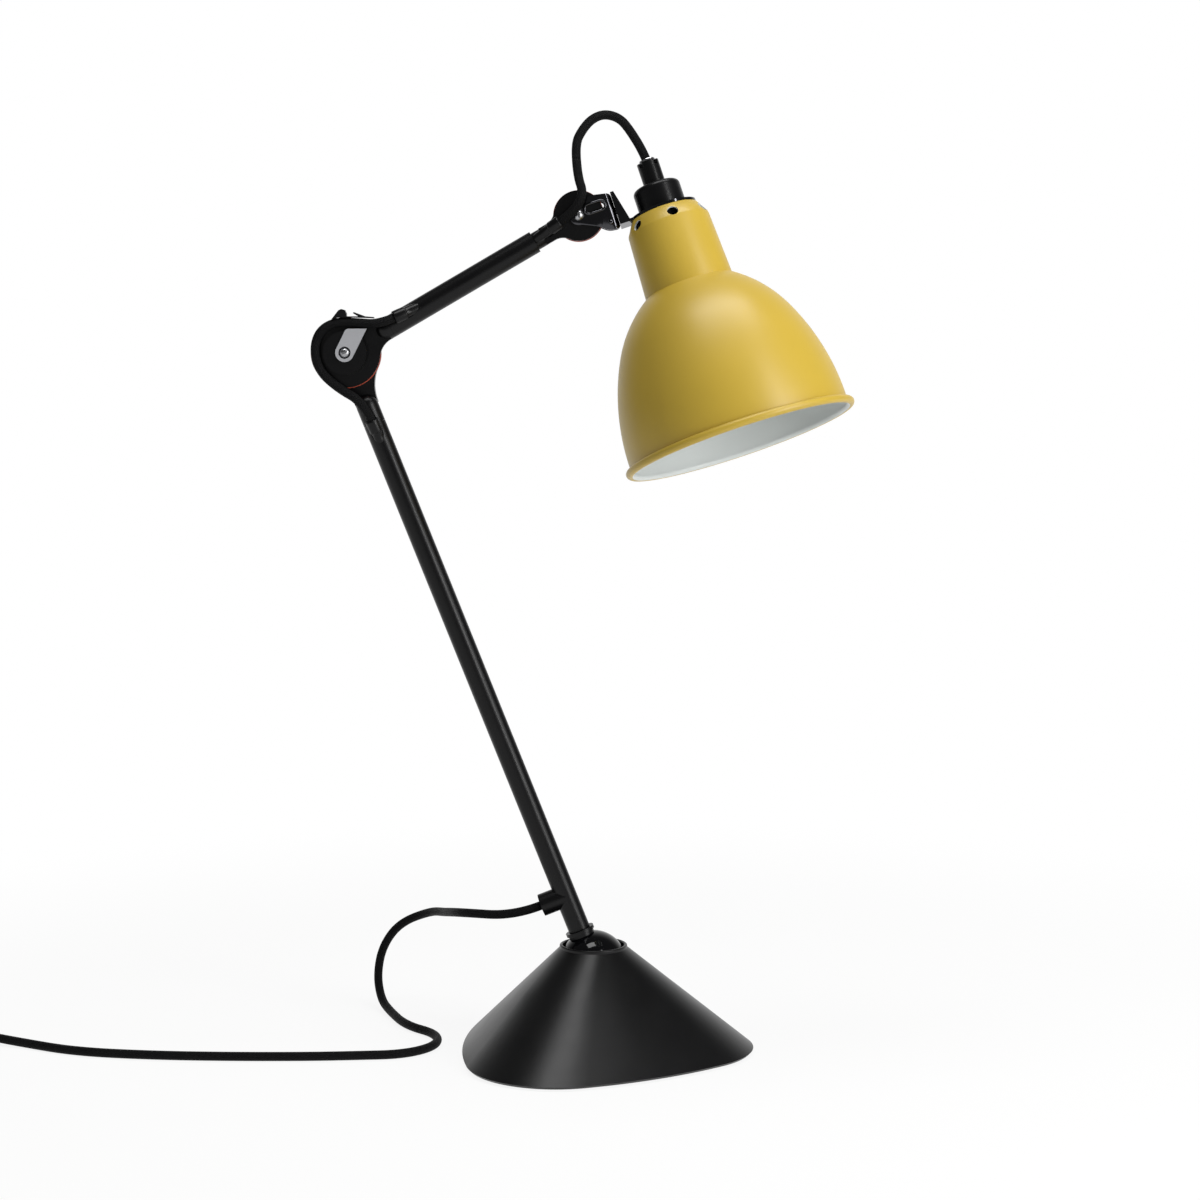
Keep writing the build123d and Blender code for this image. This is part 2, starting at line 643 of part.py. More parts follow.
def cable_clip():
    """The forked clip over the cable at the elbow's top: a strip with a lug and a raised leaf."""
    strip = [
        (-7.4, 19.2),
        (-3.4, 24.3),
        (-1.8, 25.1),
        (0.3, 24.5),
        (1.2, 22.6),
        (1.3, 20.9),
        (8.0, 20.9),
        (5.0, 22.7),
        (5.5, 23.3),
        (12.0, 20.9),
        (17.0, 20.5),
        (17.0, 19.8),
        (4.0, 20.25),
        (-4.0, 20.25),
    ]
    foot = [(-6.4, 20.3), (-5.6, 21.0), (4.0, 20.9), (4.0, 20.25), (-4.0, 20.25)]
    cover = plate(make_face(Polyline(*strip, close=True)), -9.4, -4.0)
    return cover + plate(make_face(Polyline(*foot, close=True)), -4.0, -1.0)


def elbow_parts():
    """What sits on the elbow's pivot, and the cable round it."""
    hub_face = -HALF_WASHER - ELBOW_HUB_T
    boss_face = HALF_WASHER + ELBOW_FAR_T + ELBOW_BOSS_T + TURN_GAP
    save("elbow_washer", Pos(ELBOW) * washer(ELBOW_R))
    save("tension_plate", Pos(ELBOW) * plate(tension_plate(), hub_face - PLATE_T, hub_face))
    save("elbow_screw", Pos(ELBOW) * pivot_screw(hub_face, boss_face + NUT_T + 1))
    save("elbow_nut", Pos(ELBOW) * nut(boss_face))
    save("cable_clip", Pos(ELBOW) * cable_clip())
    start = LOWER.from_local_coords(LOWER_MOUTH)
    start_way = (start - LOWER.from_local_coords(LOWER_MOUTH_FROM)).normalized()
    end = UPPER.from_local_coords(UPPER_MOUTH)
    end_way = (end - UPPER.from_local_coords(UPPER_MOUTH_FROM)).normalized()
    middle = [ELBOW + Vector(*p) for p in ELBOW_CABLE]
    points = [start, start + start_way * CABLE_STRAIGHT, *middle, end + end_way * ELBOW_CABLE_STRAIGHT, end]
    save("elbow_cable", cord("elbow_cable", points))


def head_parts():
    """The stirrup and what clamps it to the upper arm."""
    near = -HALF_WASHER - HEAD_DISC_T - SEAT_GAP
    far = HALF_WASHER + HEAD_DISC_T + SEAT_GAP
    reach = STIRRUP_REACH
    side = [
        (0, STIRRUP_END_R),
        (9, 9),
        (reach, STIRRUP_TOP),
        (reach, -STIRRUP_FOOT),
        (14, -13.6),
        (9, -9.5),
        (0, -STIRRUP_END_R),
    ]
    slot = Pos(*STIRRUP_SLOT) * SlotOverall(STIRRUP_SLOT_LONG, STIRRUP_SLOT_W)
    cheek = make_face(Polyline(*side, close=True)) + Circle(STIRRUP_END_R) - Circle(PIVOT_R + TURN_GAP) - slot
    stirrup = plate(cheek, near - STIRRUP_T, near) + plate(cheek, far, far + STIRRUP_T)
    cross_low = Vector(reach - STIRRUP_T, near - STIRRUP_T, -STIRRUP_FOOT)
    cross_high = Vector(reach, far + STIRRUP_T, STIRRUP_TOP)
    size = cross_high - cross_low
    stirrup += Pos((cross_low + cross_high) * 0.5) * Box(size.X, size.Y, size.Z)
    rivet_hole = rod(RIVET_R + TURN_GAP, (0, 0, -SWIVEL_DOWN), (reach, 0, -SWIVEL_DOWN))
    spot = Pos(SPOT_RIVET_AT[0], near - STIRRUP_T, SPOT_RIVET_AT[1])
    stirrup += spot * scale(Sphere(SPOT_RIVET_R), (1, 0.6, 1))
    place = STIRRUP.location
    save("stirrup", place * (stirrup - rivet_hole))
    save("head_washer", place * washer(HEAD_R))
    disc = across(HEAD_R, HALF_WASHER, far - SEAT_GAP) - across(PIVOT_R + TURN_GAP, 0, far)
    save("head_disc", place * disc)
    save("head_screw", place * pivot_screw(near - STIRRUP_T, far + STIRRUP_T + NUT_T + 1))
    save("head_nut", place * nut(far + STIRRUP_T))
    inner = reach - STIRRUP_T
    outer = reach + STIRRUP_T + SEAT_GAP
    rivet = rod(RIVET_R, (inner - RIVET_HEAD_T, 0, 0), (outer + RIVET_HEAD_T, 0, 0))
    rivet += rod(RIVET_HEAD_R, (inner - RIVET_HEAD_T, 0, 0), (inner, 0, 0))
    rivet += rod(RIVET_HEAD_R, (outer + TURN_GAP, 0, 0), (outer + RIVET_HEAD_T, 0, 0))
    save("swivel_rivet", SWIVEL.location * rivet)


def shade_bracket():
    """The bracket that swivels on the rivet and ends in the ring that carries the shade."""
    back = STIRRUP_REACH + SEAT_GAP - SHADE_OUT
    front = back + STIRRUP_T
    top = SHADE_DOWN + 6.0
    wall = Pos((back + front) / 2, 0, top / 2) * Box(STIRRUP_T, BRACKET_W, top)
    cheek = make_face(Polyline((back, 0), (back, top), (back + 2.0, top), (back + 6.5, 0), close=True))
    cheeks = plate(cheek, -BRACKET_W / 2, -BRACKET_W / 2 + STIRRUP_T)
    cheeks += plate(cheek, BRACKET_W / 2 - STIRRUP_T, BRACKET_W / 2)
    tongue = Pos(back / 2, 0, RING_T / 2) * Box(-back, BRACKET_W, RING_T)
    disc = ring(RING_R, 0, 0, RING_T)
    swivel = SHADE_DOWN - SWIVEL_DOWN
    pin = rod(RIVET_R + TURN_GAP, (back, 0, swivel), (front, 0, swivel))
    return wall + cheeks + tongue + disc - ring(HOLDER_R + SEAT_GAP, 0, 0, RING_T) - pin


def bell_side():
    """The bell's outer side from its foot up to the neck, as two arcs that run into each other."""
    low = TangentArc((BELL_R, -BELL_LOW_DOWN), BELL_MID, tangent=(0, 1))
    return low, TangentArc(BELL_MID, (NECK_R, -NECK_DOWN), tangent=low % 1)


def inset_arc(arc, inset):
    """An arc with the same middle and a smaller radius."""
    middle = arc.arc_center
    return ThreePointArc(*[middle + (arc @ t - middle) * (1 - inset / arc.radius) for t in (0, 0.5, 1)])


def shade_face(inset):
    """Half of the shade's section, from its axis out to its side."""
    low, high = [inset_arc(arc, inset) for arc in bell_side()]
    foot, neck = low @ 0, high @ 1
    rim = -SHADE_HEIGHT + BEAD_R
    line = Polyline(
        neck,
        (SHOULDER_R - inset, -SHOULDER_DOWN - inset / 2),
        (SHADE_TOP_R - inset / 2, -inset),
        (0, -inset),
        (0, rim),
        (foot.X, rim),
        foot,
    )
    return make_face([*low.edges(), *high.edges(), *line.edges()])


def shade():
    """The spun shade: a flat top, a sloped shoulder with vents, a neck, a bell and a rolled bead."""
    opening = Rectangle(2 * SHADE_HOLE_R, 4 * SHADE_WALL)
    bead = Pos(BEAD_OUT, -SHADE_HEIGHT + BEAD_R) * Circle(BEAD_R)
    body = revolve(Plane.XZ * (shade_face(0) - shade_face(SHADE_WALL) - opening + bead), Axis.Z)
    slope = math.degrees(math.atan2(SHOULDER_R - SHADE_TOP_R, SHOULDER_DOWN))
    share = VENT_DOWN / SHOULDER_DOWN
    mid_r = SHADE_TOP_R + share * (SHOULDER_R - SHADE_TOP_R)
    vent = Pos(mid_r, 0, -VENT_DOWN) * Rot(0, 90 - slope, 0) * Cylinder(VENT_R, 6 * SHADE_WALL)
    return body - [Rot(0, 0, VENT_TURN + 360 * k / VENTS) * vent for k in range(VENTS)]


def grip():
    """The cord grip: a sleeve with a notched crown."""
    low = RING_T + CAP_T
    body = ring(GRIP_R, GRIP_BORE_R, low, low + GRIP_T)
    wide, deep = GRIP_NOTCH
    notch = Pos(GRIP_R, 0, low + GRIP_T) * Box(GRIP_R, wide, 2 * deep)
    return body - [Rot(0, 0, 45 + 360 * k / GRIP_NOTCHES) * notch for k in range(GRIP_NOTCHES)]


def lampholder_parts():
    """Bracket, shade, lampholder, cord grip and bulb, in the shade's own frame."""
    place = SHADE.location
    save("shade_bracket", place * shade_bracket())
    save("shade", place * shade())
    cap_top = RING_T + CAP_T
    cap = ring(CAP_R, 0, RING_T, cap_top)
    cap = fillet(cap.edges().group_by(Axis.Z)[-1], CAP_ROUND)
    hollow = ring(CAP_R - CAP_WALL, 0, RING_T, cap_top - CAP_WALL) + ring(GRIP_BORE_R, 0, RING_T, cap_top)
    save("lampholder_cap", place * (cap - hollow))
    save("cord_grip", place * grip())
    insert_low = cap_top + 1
    insert = ring(GRIP_BORE_R - TURN_GAP, CORD_R + BORE_GAP, insert_low, cap_top + GRIP_T - 0.6)
    save("grip_insert", place * insert)
    body = ring(HOLDER_R, 0, -HOLDER_DOWN, RING_T)
    body -= ring(SOCKET_BORE_R, 0, -HOLDER_DOWN, -HOLDER_DOWN + BULB_CAP_DEEP + CONTACT_T + SEAT_GAP)
    body -= ring(CORD_R + BORE_GAP, 0, -HOLDER_DOWN, RING_T)
    save("lampholder_body", place * body)
    shell_top = -HOLDER_DOWN + BULB_CAP_DEEP
    contact = ring(CONTACT_SHELL_R, CONTACT_SHELL_R - CONTACT_SHELL_T, -HOLDER_DOWN + 1, shell_top)
    save("contact_shell", place * contact)
    tab = Pos(0, 0, shell_top + SEAT_GAP + CONTACT_T / 2) * Box(SOCKET_BORE_R + 3, 4, CONTACT_T)
    save("centre_contact", place * tab)
    threaded = ring(SHADE_RING_R, HOLDER_R + SEAT_GAP, -SHADE_WALL - SHADE_RING_T, -SHADE_WALL)
    save("shade_ring", place * threaded)
    low = shell_top + SEAT_GAP + CONTACT_T + SEAT_GAP
    save("holder_lead", place * rod(CORD_R, (0, 0, low), GRIP_MOUTH))
    cap_low = shell_top - BULB_CAP_DEEP - 1.0
    cap = turned((0, cap_low), (BULB_CAP_R, cap_low), (BULB_CAP_R, shell_top - 3), (0, shell_top))
    save("bulb_cap", place * cap)
    glass = Pos(0, 0, -BULB_MID_DOWN) * Sphere(BULB_R) + ring(BULB_NECK_R, 0, -BULB_MID_DOWN, cap_low)
    save("bulb_glass", place * glass)


def head_cable_parts():
    """The cable that arches over the head joint, in two lengths that meet at its top."""
    start = UPPER.from_local_coords(HEAD_MOUTH)
    start_way = (start - UPPER.from_local_coords(HEAD_MOUTH_FROM)).normalized()
    end = SHADE.from_local_coords(GRIP_MOUTH)
    split = HEAD + Vector(*HEAD_CABLE_SPLIT)
    low = [start, start + start_way * CABLE_STRAIGHT, *[HEAD + Vector(*p) for p in HEAD_CABLE_LOW], split]
    high = [split, *[HEAD + Vector(*p) for p in HEAD_CABLE_HIGH], end + SHADE.z_dir * 5, end]
    save("head_cable_low", cord("head_cable_low", low))
    save("head_cable_high", cord("head_cable_high", high))


def switch_parts():
    """The inline switch: two half shells, screws, rocker and its pin."""
    x, y = SWITCH_START
    place = Pos(x - SWITCH_LONG / 2, y, 0)
    block = extrude(RectangleRounded(SWITCH_LONG, SWITCH_W, SWITCH_ROUND), SWITCH_H)
    block = fillet(block.edges().group_by(Axis.Z)[-1], 3)
    thick = 2 * SWITCH_WALL
    room = RectangleRounded(SWITCH_LONG - thick, SWITCH_W - thick, SWITCH_ROUND - SWITCH_WALL)
    room = Pos(0, 0, SWITCH_WALL) * extrude(room, SWITCH_H - thick)
    way = rod(CORD_R + SEAT_GAP, (-SWITCH_LONG / 2, 0, SWITCH_EXIT), (SWITCH_LONG / 2, 0, SWITCH_EXIT))
    posts = [Pos(s * SWITCH_SCREW_OUT, 7.0, 0) for s in (-1, 1)]
    post = Cylinder(3.0, SWITCH_H - SWITCH_WALL, align=(Align.CENTER, Align.CENTER, Align.MIN))
    hole = ring(SWITCH_SCREW_R + SEAT_GAP, 0, 0, SWITCH_H - 2 * SWITCH_WALL)
    case = block - room + [p * post for p in posts] - [p * hole for p in posts]
    window = Pos(0, 0, SWITCH_H) * Box(ROCKER[0] + 1.0, ROCKER[1] + 1.0, 3 * SWITCH_WALL)
    case = case - way - window
    below = Pos(0, 0, SWITCH_EXIT - SWITCH_H / 2) * Box(2 * SWITCH_LONG, 2 * SWITCH_W, SWITCH_H)
    ears_low = SWITCH_H - SWITCH_WALL - 4.0
    ear = Box(3.0, 2.0, 6.0) - rod(ROCKER_PIN_R + TURN_GAP, (0, -2, 0), (0, 2, 0))
    ears = [Pos(0, s * (ROCKER[1] / 2 + 1.6), ears_low + 1.5) * ear for s in (-1, 1)]
    save("switch_case_top", place * (case - below + ears))
    save("switch_case_bottom", place * (case & below))
    screw = ring(SWITCH_SCREW_R, 0, 0.2, SWITCH_H - 3 * SWITCH_WALL)
    save("switch_screws", place * Compound([p * screw for p in posts]))
    pin_at = (0, 0, ears_low + 1.5)
    body = Pos(0, 0, SWITCH_H + 0.5 - ROCKER[2] / 2) * Box(*ROCKER)
    body = fillet(body.edges().filter_by(Axis.Y).group_by(Axis.Z)[-1], 2.0)
    rocker = Rot(0, ROCKER_TILT, 0) * Pos(0, 0, -pin_at[2]) * body
    pin_half = ROCKER[1] / 2 + 2.4
    rocker = rocker + rod(ROCKER_PIN_R, (0, -pin_half, 0), (0, pin_half, 0))
    save("switch_rocker", place * Pos(*pin_at) * rocker)


def coil_arcs(x, y):
    """The coil's half turns: in on the lower layer, one climbing half turn, and out on the upper layer."""
    count = COIL_HALF_TURNS
    steps = [*range(count), count, *range(count - 1, -1, -1)]
    at = Vector(x, y + COIL_R, COIL_BOTTOM)
    side = 1
    arcs = []
    for k, step in enumerate(steps):
        radius = COIL_R - step * COIL_STEP
        rise = math.asin(COIL_LAYER / (2 * radius)) if k == count else 0
        inward = Vector(0, -side * math.cos(rise), math.sin(rise))
        middle = at + inward * radius
        end = at + inward * (2 * radius)
        arcs.append(ThreePointArc(at, middle + Vector(-side * radius, 0, 0), end))
        at, side = end, -side
    return arcs


def least_gap(wire, radius):
    """The least gap of a cord to itself, measured on points more than a few diameters apart along it."""
    count = int(wire.length / 2)
    step = wire.length / count
    points = [wire @ (k / count) for k in range(count + 1)]
    apart = int(6 * radius / step) + 1
    least = min(
        (points[j] - points[k]).length for k in range(len(points)) for j in range(k + apart, len(points))
    )
    return least - 2 * radius


def lead_parts():
    """The mains lead: the drop from the inlet, the length on the table, the link and the coil."""
    inlet = LOWER.from_local_coords(INLET)
    first = inlet - LOWER.x_dir * INLET_STRAIGHT
    split = (Vector(*LEAD_DROP[-1]) + Vector(*LEAD_FLOOR[0])) * 0.5
    start_x, lead_y = SWITCH_START
    save("mains_lead_drop", cord("mains_lead_drop", [inlet, first, *LEAD_DROP, split], split_at=-1))
    floor = [split, *LEAD_FLOOR, (start_x, lead_y, SWITCH_EXIT)]
    save("mains_lead_floor", cord("mains_lead_floor", floor, split_at=0))
    link_x = start_x - SWITCH_LONG
    coil_x, coil_y = link_x - LINK_LONG, lead_y + 2.0 - COIL_R
    top_y = coil_y + COIL_R
    link = [
        (link_x, lead_y, SWITCH_EXIT),
        (link_x - 15, lead_y, SWITCH_EXIT),
        (link_x - 31, top_y, COIL_BOTTOM),
        (coil_x + 2 * CORD_R, top_y, COIL_BOTTOM),
    ]
    save("mains_lead_link", cord("mains_lead_link", link))
    arcs = coil_arcs(coil_x, coil_y)
    first, last = arcs[0] @ 0, arcs[-1] @ 1
    lead_in = Line(first + Vector(2 * CORD_R, 0, 0), first)
    lead_out = Line(last, last + Vector(2 * CORD_R, 0, 0))
    wire = Wire([*lead_in.edges(), *[e for a in arcs for e in a.edges()], *lead_out.edges()])
    coil = sweep(Plane(wire @ 0, z_dir=wire % 0) * Circle(CORD_R), path=wire)
    share = coil.volume / (math.pi * CORD_R**2 * wire.length)
    gap = least_gap(wire, CORD_R)
    print(f"coil: length {wire.length:.1f}, least gap {gap:.2f}, volume share {share:.4f}")
    save("mains_lead_coil", coil)
    save("coil_tie", coil_tie(coil_x, coil_y))
    return last + Vector(2 * CORD_R, 0, 0)


def coil_tie(x, y):
    """A flat strap round the coil's bundle on its far left side."""
    innermost = COIL_R - (COIL_HALF_TURNS - 1) * COIL_STEP
    inner = math.sqrt(innermost**2 - (COIL_STEP + TIE_W / 2) ** 2) - CORD_R - TIE_GAP
    outer = COIL_R + CORD_R + TIE_GAP
    wide = outer - inner
    high = COIL_BOTTOM + COIL_LAYER + CORD_R + TIE_GAP
    band = RectangleRounded(wide + 2 * TIE_T, high + TIE_T, 1.5)
    band -= RectangleRounded(wide, high - TIE_T, 1.0)
    middle = Pos(x - (inner + outer) / 2, y - COIL_STEP, (high + TIE_T) / 2)
    return middle * plate(band, -TIE_W / 2, TIE_W / 2)


def plug_parts(at):
    """The mains plug, lying beside the coil in line with its end."""
    inside = RELIEF_LONG + PLUG_ROUND
    relief = Plane(at, z_dir=(1, 0, 0)).location * turned(
        (0, TURN_GAP), (CORD_R + 0.4, TURN_GAP), (RELIEF_R, RELIEF_LONG), (RELIEF_R, inside), (0, inside)
    )
    long, wide = PLUG_BODY
    thick = 2 * at.Z
    start = at + Vector(RELIEF_LONG, 0, 0)
    block = extrude(RectangleRounded(long, wide, PLUG_ROUND), thick)
    levels = block.edges().group_by(Axis.Z)
    block = fillet(levels[0] + levels[-1], 2.5)
    save("plug_body", Pos(start.X + long / 2, start.Y, 0) * block + relief)
    pins = []
    for side in (-1, 1):
        foot = start + Vector(long, side * PIN_APART / 2, 0)
        pin = rod(PIN_R, foot, foot + Vector(PIN_LONG, 0, 0))
        pins.append(fillet(pin.edges().group_by(Axis.X)[-1], PIN_R * 0.7))
    save("plug_pins", Compound(pins))


def save(name, shape):
    """Writes one sub-part."""
    export_step(shape, f"parts/{name}.step")


os.makedirs("parts", exist_ok=True)
base_parts()
ball_socket_parts()
ball_parts()
lower_arm_parts()
upper_arm_parts()
elbow_parts()
head_parts()
lampholder_parts()
head_cable_parts()
switch_parts()
plug_parts(lead_parts())
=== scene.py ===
import math

import bmesh
import bpy
from bpy.props import FloatProperty, FloatVectorProperty, PointerProperty
from bpy.types import Operator, Panel, PropertyGroup
from mathutils import Matrix, Vector


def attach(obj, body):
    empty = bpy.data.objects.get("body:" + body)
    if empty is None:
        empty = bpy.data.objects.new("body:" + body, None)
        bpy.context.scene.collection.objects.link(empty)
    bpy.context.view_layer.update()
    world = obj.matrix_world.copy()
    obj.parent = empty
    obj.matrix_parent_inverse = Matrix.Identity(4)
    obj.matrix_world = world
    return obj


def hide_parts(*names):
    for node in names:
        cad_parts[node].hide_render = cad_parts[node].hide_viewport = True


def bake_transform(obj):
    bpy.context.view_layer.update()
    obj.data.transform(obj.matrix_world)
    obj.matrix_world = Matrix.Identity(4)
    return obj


bl_info = {
    "name": "Jointed desk lamp",
    "version": (1, 0, 0),
    "blender": (4, 5, 0),
    "location": "View3D > Sidebar > Desk lamp",
    "description": "Dresses the packed desk lamp: finishes, cords, shade, bulb, fasteners and a plain studio",
    "category": "Object",
}

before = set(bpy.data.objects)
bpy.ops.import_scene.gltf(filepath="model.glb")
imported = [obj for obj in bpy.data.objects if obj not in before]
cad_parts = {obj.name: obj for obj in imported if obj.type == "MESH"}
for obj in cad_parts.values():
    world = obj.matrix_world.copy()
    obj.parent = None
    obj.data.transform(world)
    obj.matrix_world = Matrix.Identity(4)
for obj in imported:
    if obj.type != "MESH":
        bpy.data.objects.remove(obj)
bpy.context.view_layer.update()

# Places and routes, in metres

# They are the lamp's source's own, but for three points of the cables, eased by up to 1.1 mm
BALL = Vector((0, 0, 0.052))
LEAN = math.radians(21.7)  # the lower arm, back from upright
RISE = math.radians(30.2)  # the upper arm, up from level
TILT = math.radians(18.4)  # the stirrup, up from level
ROLL = math.radians(9.6)  # the shade, its mouth towards the front
LOWER_LONG = 0.388  # from the ball to the elbow
UPPER_LONG = 0.1563  # from the elbow to the head joint
SWIVEL_DROP = 0.004  # from the head joint's axis down to the shade's swivel
SHADE_REACH = 0.0474  # from the head joint out to the shade's axis
SHADE_DROP = 0.0137  # from the head joint down to the shade's top, before the roll
GRIP_UP = 0.0307  # from the shade's top up to the cord grip's mouth
INLET_OUT = 0.0155  # from the lower arm's axis to the lead inlet's mouth
INLET_UP = 0.044  # from the ball up to the lead inlet
LOWER_Z = Vector((-math.sin(LEAN), 0, math.cos(LEAN)))
LOWER_X = Vector((math.cos(LEAN), 0, math.sin(LEAN)))
ELBOW = BALL + LOWER_Z * LOWER_LONG
UPPER_Z = Vector((math.cos(RISE), 0, math.sin(RISE)))
UPPER_X = Vector((math.sin(RISE), 0, -math.cos(RISE)))
HEAD = ELBOW + UPPER_Z * UPPER_LONG
ALONG = Vector((math.cos(TILT), 0, math.sin(TILT)))
ABOVE = Vector((-math.sin(TILT), 0, math.cos(TILT)))
SHADE_Z = ABOVE * math.cos(ROLL) + Vector((0, math.sin(ROLL), 0))
SWIVEL = HEAD - ABOVE * SWIVEL_DROP
SHADE_AT = SWIVEL + ALONG * SHADE_REACH + SHADE_Z * (SWIVEL_DROP - SHADE_DROP)
GRIP_MOUTH = SHADE_AT + SHADE_Z * GRIP_UP

INLET = BALL - LOWER_X * INLET_OUT + LOWER_Z * INLET_UP
INLET_RUN = 0.0175  # the lead's straight way out of the inlet
LEAD_DROP = [
    (-0.0786, 0.0105, 0.0805),
    (-0.0882, 0.0413, 0.0742),
    (-0.0922, 0.0756, 0.0668),
    (-0.1033, 0.1052, 0.0612),
    (-0.1238, 0.1159, 0.0513),
    (-0.1350, 0.1163, 0.0360),
    (-0.1380, 0.1103, 0.0187),
    (-0.1344, 0.0973, 0.0061),
    (-0.1274, 0.0805, 0.0027),
    (-0.1149, 0.0460, 0.0027),
]
LEAD_FLOOR = [
    (-0.0943, 0.0255, 0.0027),
    (-0.0928, -0.0009, 0.0027),
    (-0.1108, -0.0205, 0.0027),
    (-0.1399, -0.0232, 0.0027),
    (-0.1650, -0.0252, 0.0027),
    (-0.2100, -0.0254, 0.0027),
    (-0.2570, -0.0228, 0.0027),
    (-0.3050, -0.0145, 0.0027),
    (-0.3420, 0.0063, 0.0027),
    (-0.3660, 0.0125, 0.0055),
]
SWITCH_START = Vector((-0.386, 0.0125, 0.0055))
SWITCH_END = Vector((-0.446, 0.0125, 0.0055))
COIL_START = Vector((-0.494, 0.0145, 0.0033))
COIL_STUB = Vector((0.0053, 0, 0))  # the straight end of the coil, both ways in
COIL_R = 0.036  # of the outermost half turn
COIL_STEP = 0.0029  # from one half turn's radius to the next
COIL_HALF_TURNS = 5  # in each of the two layers
COIL_LAYER = 0.0058  # from the lower layer up to the upper
DROP_CUTS = (0.27, 0.6)  # shares of the drop, where it is cut into its three lengths

# The mouths of the arms' bushes lie in their arm's own frame, and the cables' points are from their pivot
LOWER_MOUTH = Vector((-0.0003, -0.0070, 0.3465))
LOWER_MOUTH_FROM = Vector((0, 0, 0.320))
UPPER_MOUTH = Vector((-0.0029, -0.0074, 0.0345))
UPPER_MOUTH_FROM = Vector((0, 0, 0.062))
HEAD_MOUTH = Vector((-0.0021, -0.0088, 0.1457))
HEAD_MOUTH_FROM = Vector((0, 0, 0.1183))
ELBOW_CABLE = [
    (-0.0045, -0.0067, -0.0202),
    (-0.0150, -0.0066, -0.0104),
    (-0.0180, -0.0066, 0.0020),
    (-0.0146, -0.0066, 0.0126),
    (-0.0052, -0.0067, 0.0179),
    (0.0080, -0.0072, 0.0172),
]
CABLE_TUCK = 0.004  # how far a held cable's end goes back into its bush
CABLE_RUN = 0.011  # its straight way out of the bush
HEAD_CABLE_LOW = [(0.0028, -0.0122, 0.0124), (-0.0005, -0.0096, 0.0219)]
HEAD_CABLE_SPLIT = (-0.0012, -0.0079, 0.0314)
HEAD_CABLE_HIGH = [
    (-0.0019, -0.0062, 0.0409),
    (0.0022, -0.0047, 0.0489),
    (0.0076, -0.0033, 0.0551),
    (0.0148, -0.0017, 0.0581),
    (0.0232, 0.0002, 0.0561),
    (0.0290, 0.0019, 0.0500),
]


def in_lower(p):
    """A point of the lower arm's own frame, in the lamp's frame."""
    return BALL + LOWER_X * p.x + Vector((0, p.y, 0)) + LOWER_Z * p.z


def in_upper(p):
    """A point of the upper arm's own frame, in the lamp's frame."""
    return ELBOW + UPPER_X * p.x + Vector((0, p.y, 0)) + UPPER_Z * p.z


def frame_at(x_way, z_way, place):
    """The matrix that takes a piece from its own frame to its place in the lamp."""
    y_way = z_way.cross(x_way)
    return Matrix.Translation(place) @ Matrix((x_way, y_way, z_way)).transposed().to_4x4()


IN_SHADE = frame_at(ALONG, SHADE_Z, SHADE_AT)


# Finishes

COAT_CLOUD = 1 / 45  # sizes of the patterns in metres, here 22 mm
PLATING_MARK = 1 / 700  # 1.4 mm
PLATING_DENT = 0.004
MOULD_CLOUD = 1 / 60  # 17 mm
ENAMEL_CLOUD = 0.04
ENAMEL_PEEL = 0.0011
ETCH_GRAIN = 0.0004
BRAID_SLANT = 1.6  # the length of one stitch, over its width
BRAID_DEPTH = 0.00025


def linear(code):
    """An sRGB hex colour as linear red, green, blue."""
    parts = [int(code[i : i + 2], 16) / 255 for i in (1, 3, 5)]
    return [c / 12.92 if c <= 0.04045 else ((c + 0.055) / 1.055) ** 2.4 for c in parts]


def add(tree, kind, sockets=None, feeds=None, **settings):
    """Adds a node with its settings and links.

    sockets maps its inputs to values or to other nodes' outputs, and feeds maps its outputs to inputs.
    """
    made = tree.nodes.new(kind)
    for name, value in settings.items():
        setattr(made, name, value)
    for key, value in (sockets or {}).items():
        if isinstance(value, bpy.types.NodeSocket):
            tree.links.new(value, made.inputs[key])
        else:
            made.inputs[key].default_value = value
    for key, socket in (feeds or {}).items():
        tree.links.new(made.outputs[key], socket)
    return made


def surface(name, colour, **values):
    """A new material with a Principled shader; returns the material, its tree and the shader."""
    material = bpy.data.materials.new(name)
    material.use_nodes = True
    tree = material.node_tree
    shader = tree.nodes["Principled BSDF"]
    shader.inputs["Base Color"].default_value = (*colour, 1)
    for key, value in values.items():
        shader.inputs[key.replace("_", " ")].default_value = value
    return material, tree, shader


def speckle(tree, grain, detail):
    """Noise over the piece's own coordinates, in grains of about that size in metres."""
    place = add(tree, "ShaderNodeTexCoord")
    noise = {"Vector": place.outputs["Object"], "Scale": 1 / grain, "Detail": detail}
    return add(tree, "ShaderNodeTexNoise", noise).outputs["Fac"]


def vary(tree, shader, pattern, colour, shades, roughness, height, depth):
    """Lets a surface vary by a pattern, in its colour between two shades and in its roughness.

    It is also raised by the height times the depth, in metres.
    """
    dark, light = [(*[min(1, c * shade) for c in colour], 1) for shade in shades]
    tones = {0: pattern, 6: dark, 7: light}
    add(tree, "ShaderNodeMix", tones, {2: shader.inputs["Base Color"]}, data_type="RGBA")
    if roughness:
        spread = {"Value": pattern, "To Min": roughness[0], "To Max": roughness[1]}
        add(tree, "ShaderNodeMapRange", spread, {"Result": shader.inputs["Roughness"]})
    relief = {"Height": height, "Distance": depth}
    add(tree, "ShaderNodeBump", relief, {"Normal": shader.inputs["Normal"]})


def powder_coat(name, colour, roughness, grain, depth, shine):
    """Baked powder coat: an even colour with a fine orange peel that softens its highlights."""
    material, tree, shader = surface(name, colour, Roughness=roughness, IOR=1.5, Specular_IOR_Level=shine)
    cloud, peel = speckle(tree, COAT_CLOUD, 2), speckle(tree, grain, 1)
    spread = (roughness - 0.05, roughness + 0.05)
    vary(tree, shader, cloud, colour, (0.86, 1.12), spread, peel, depth)
    return material


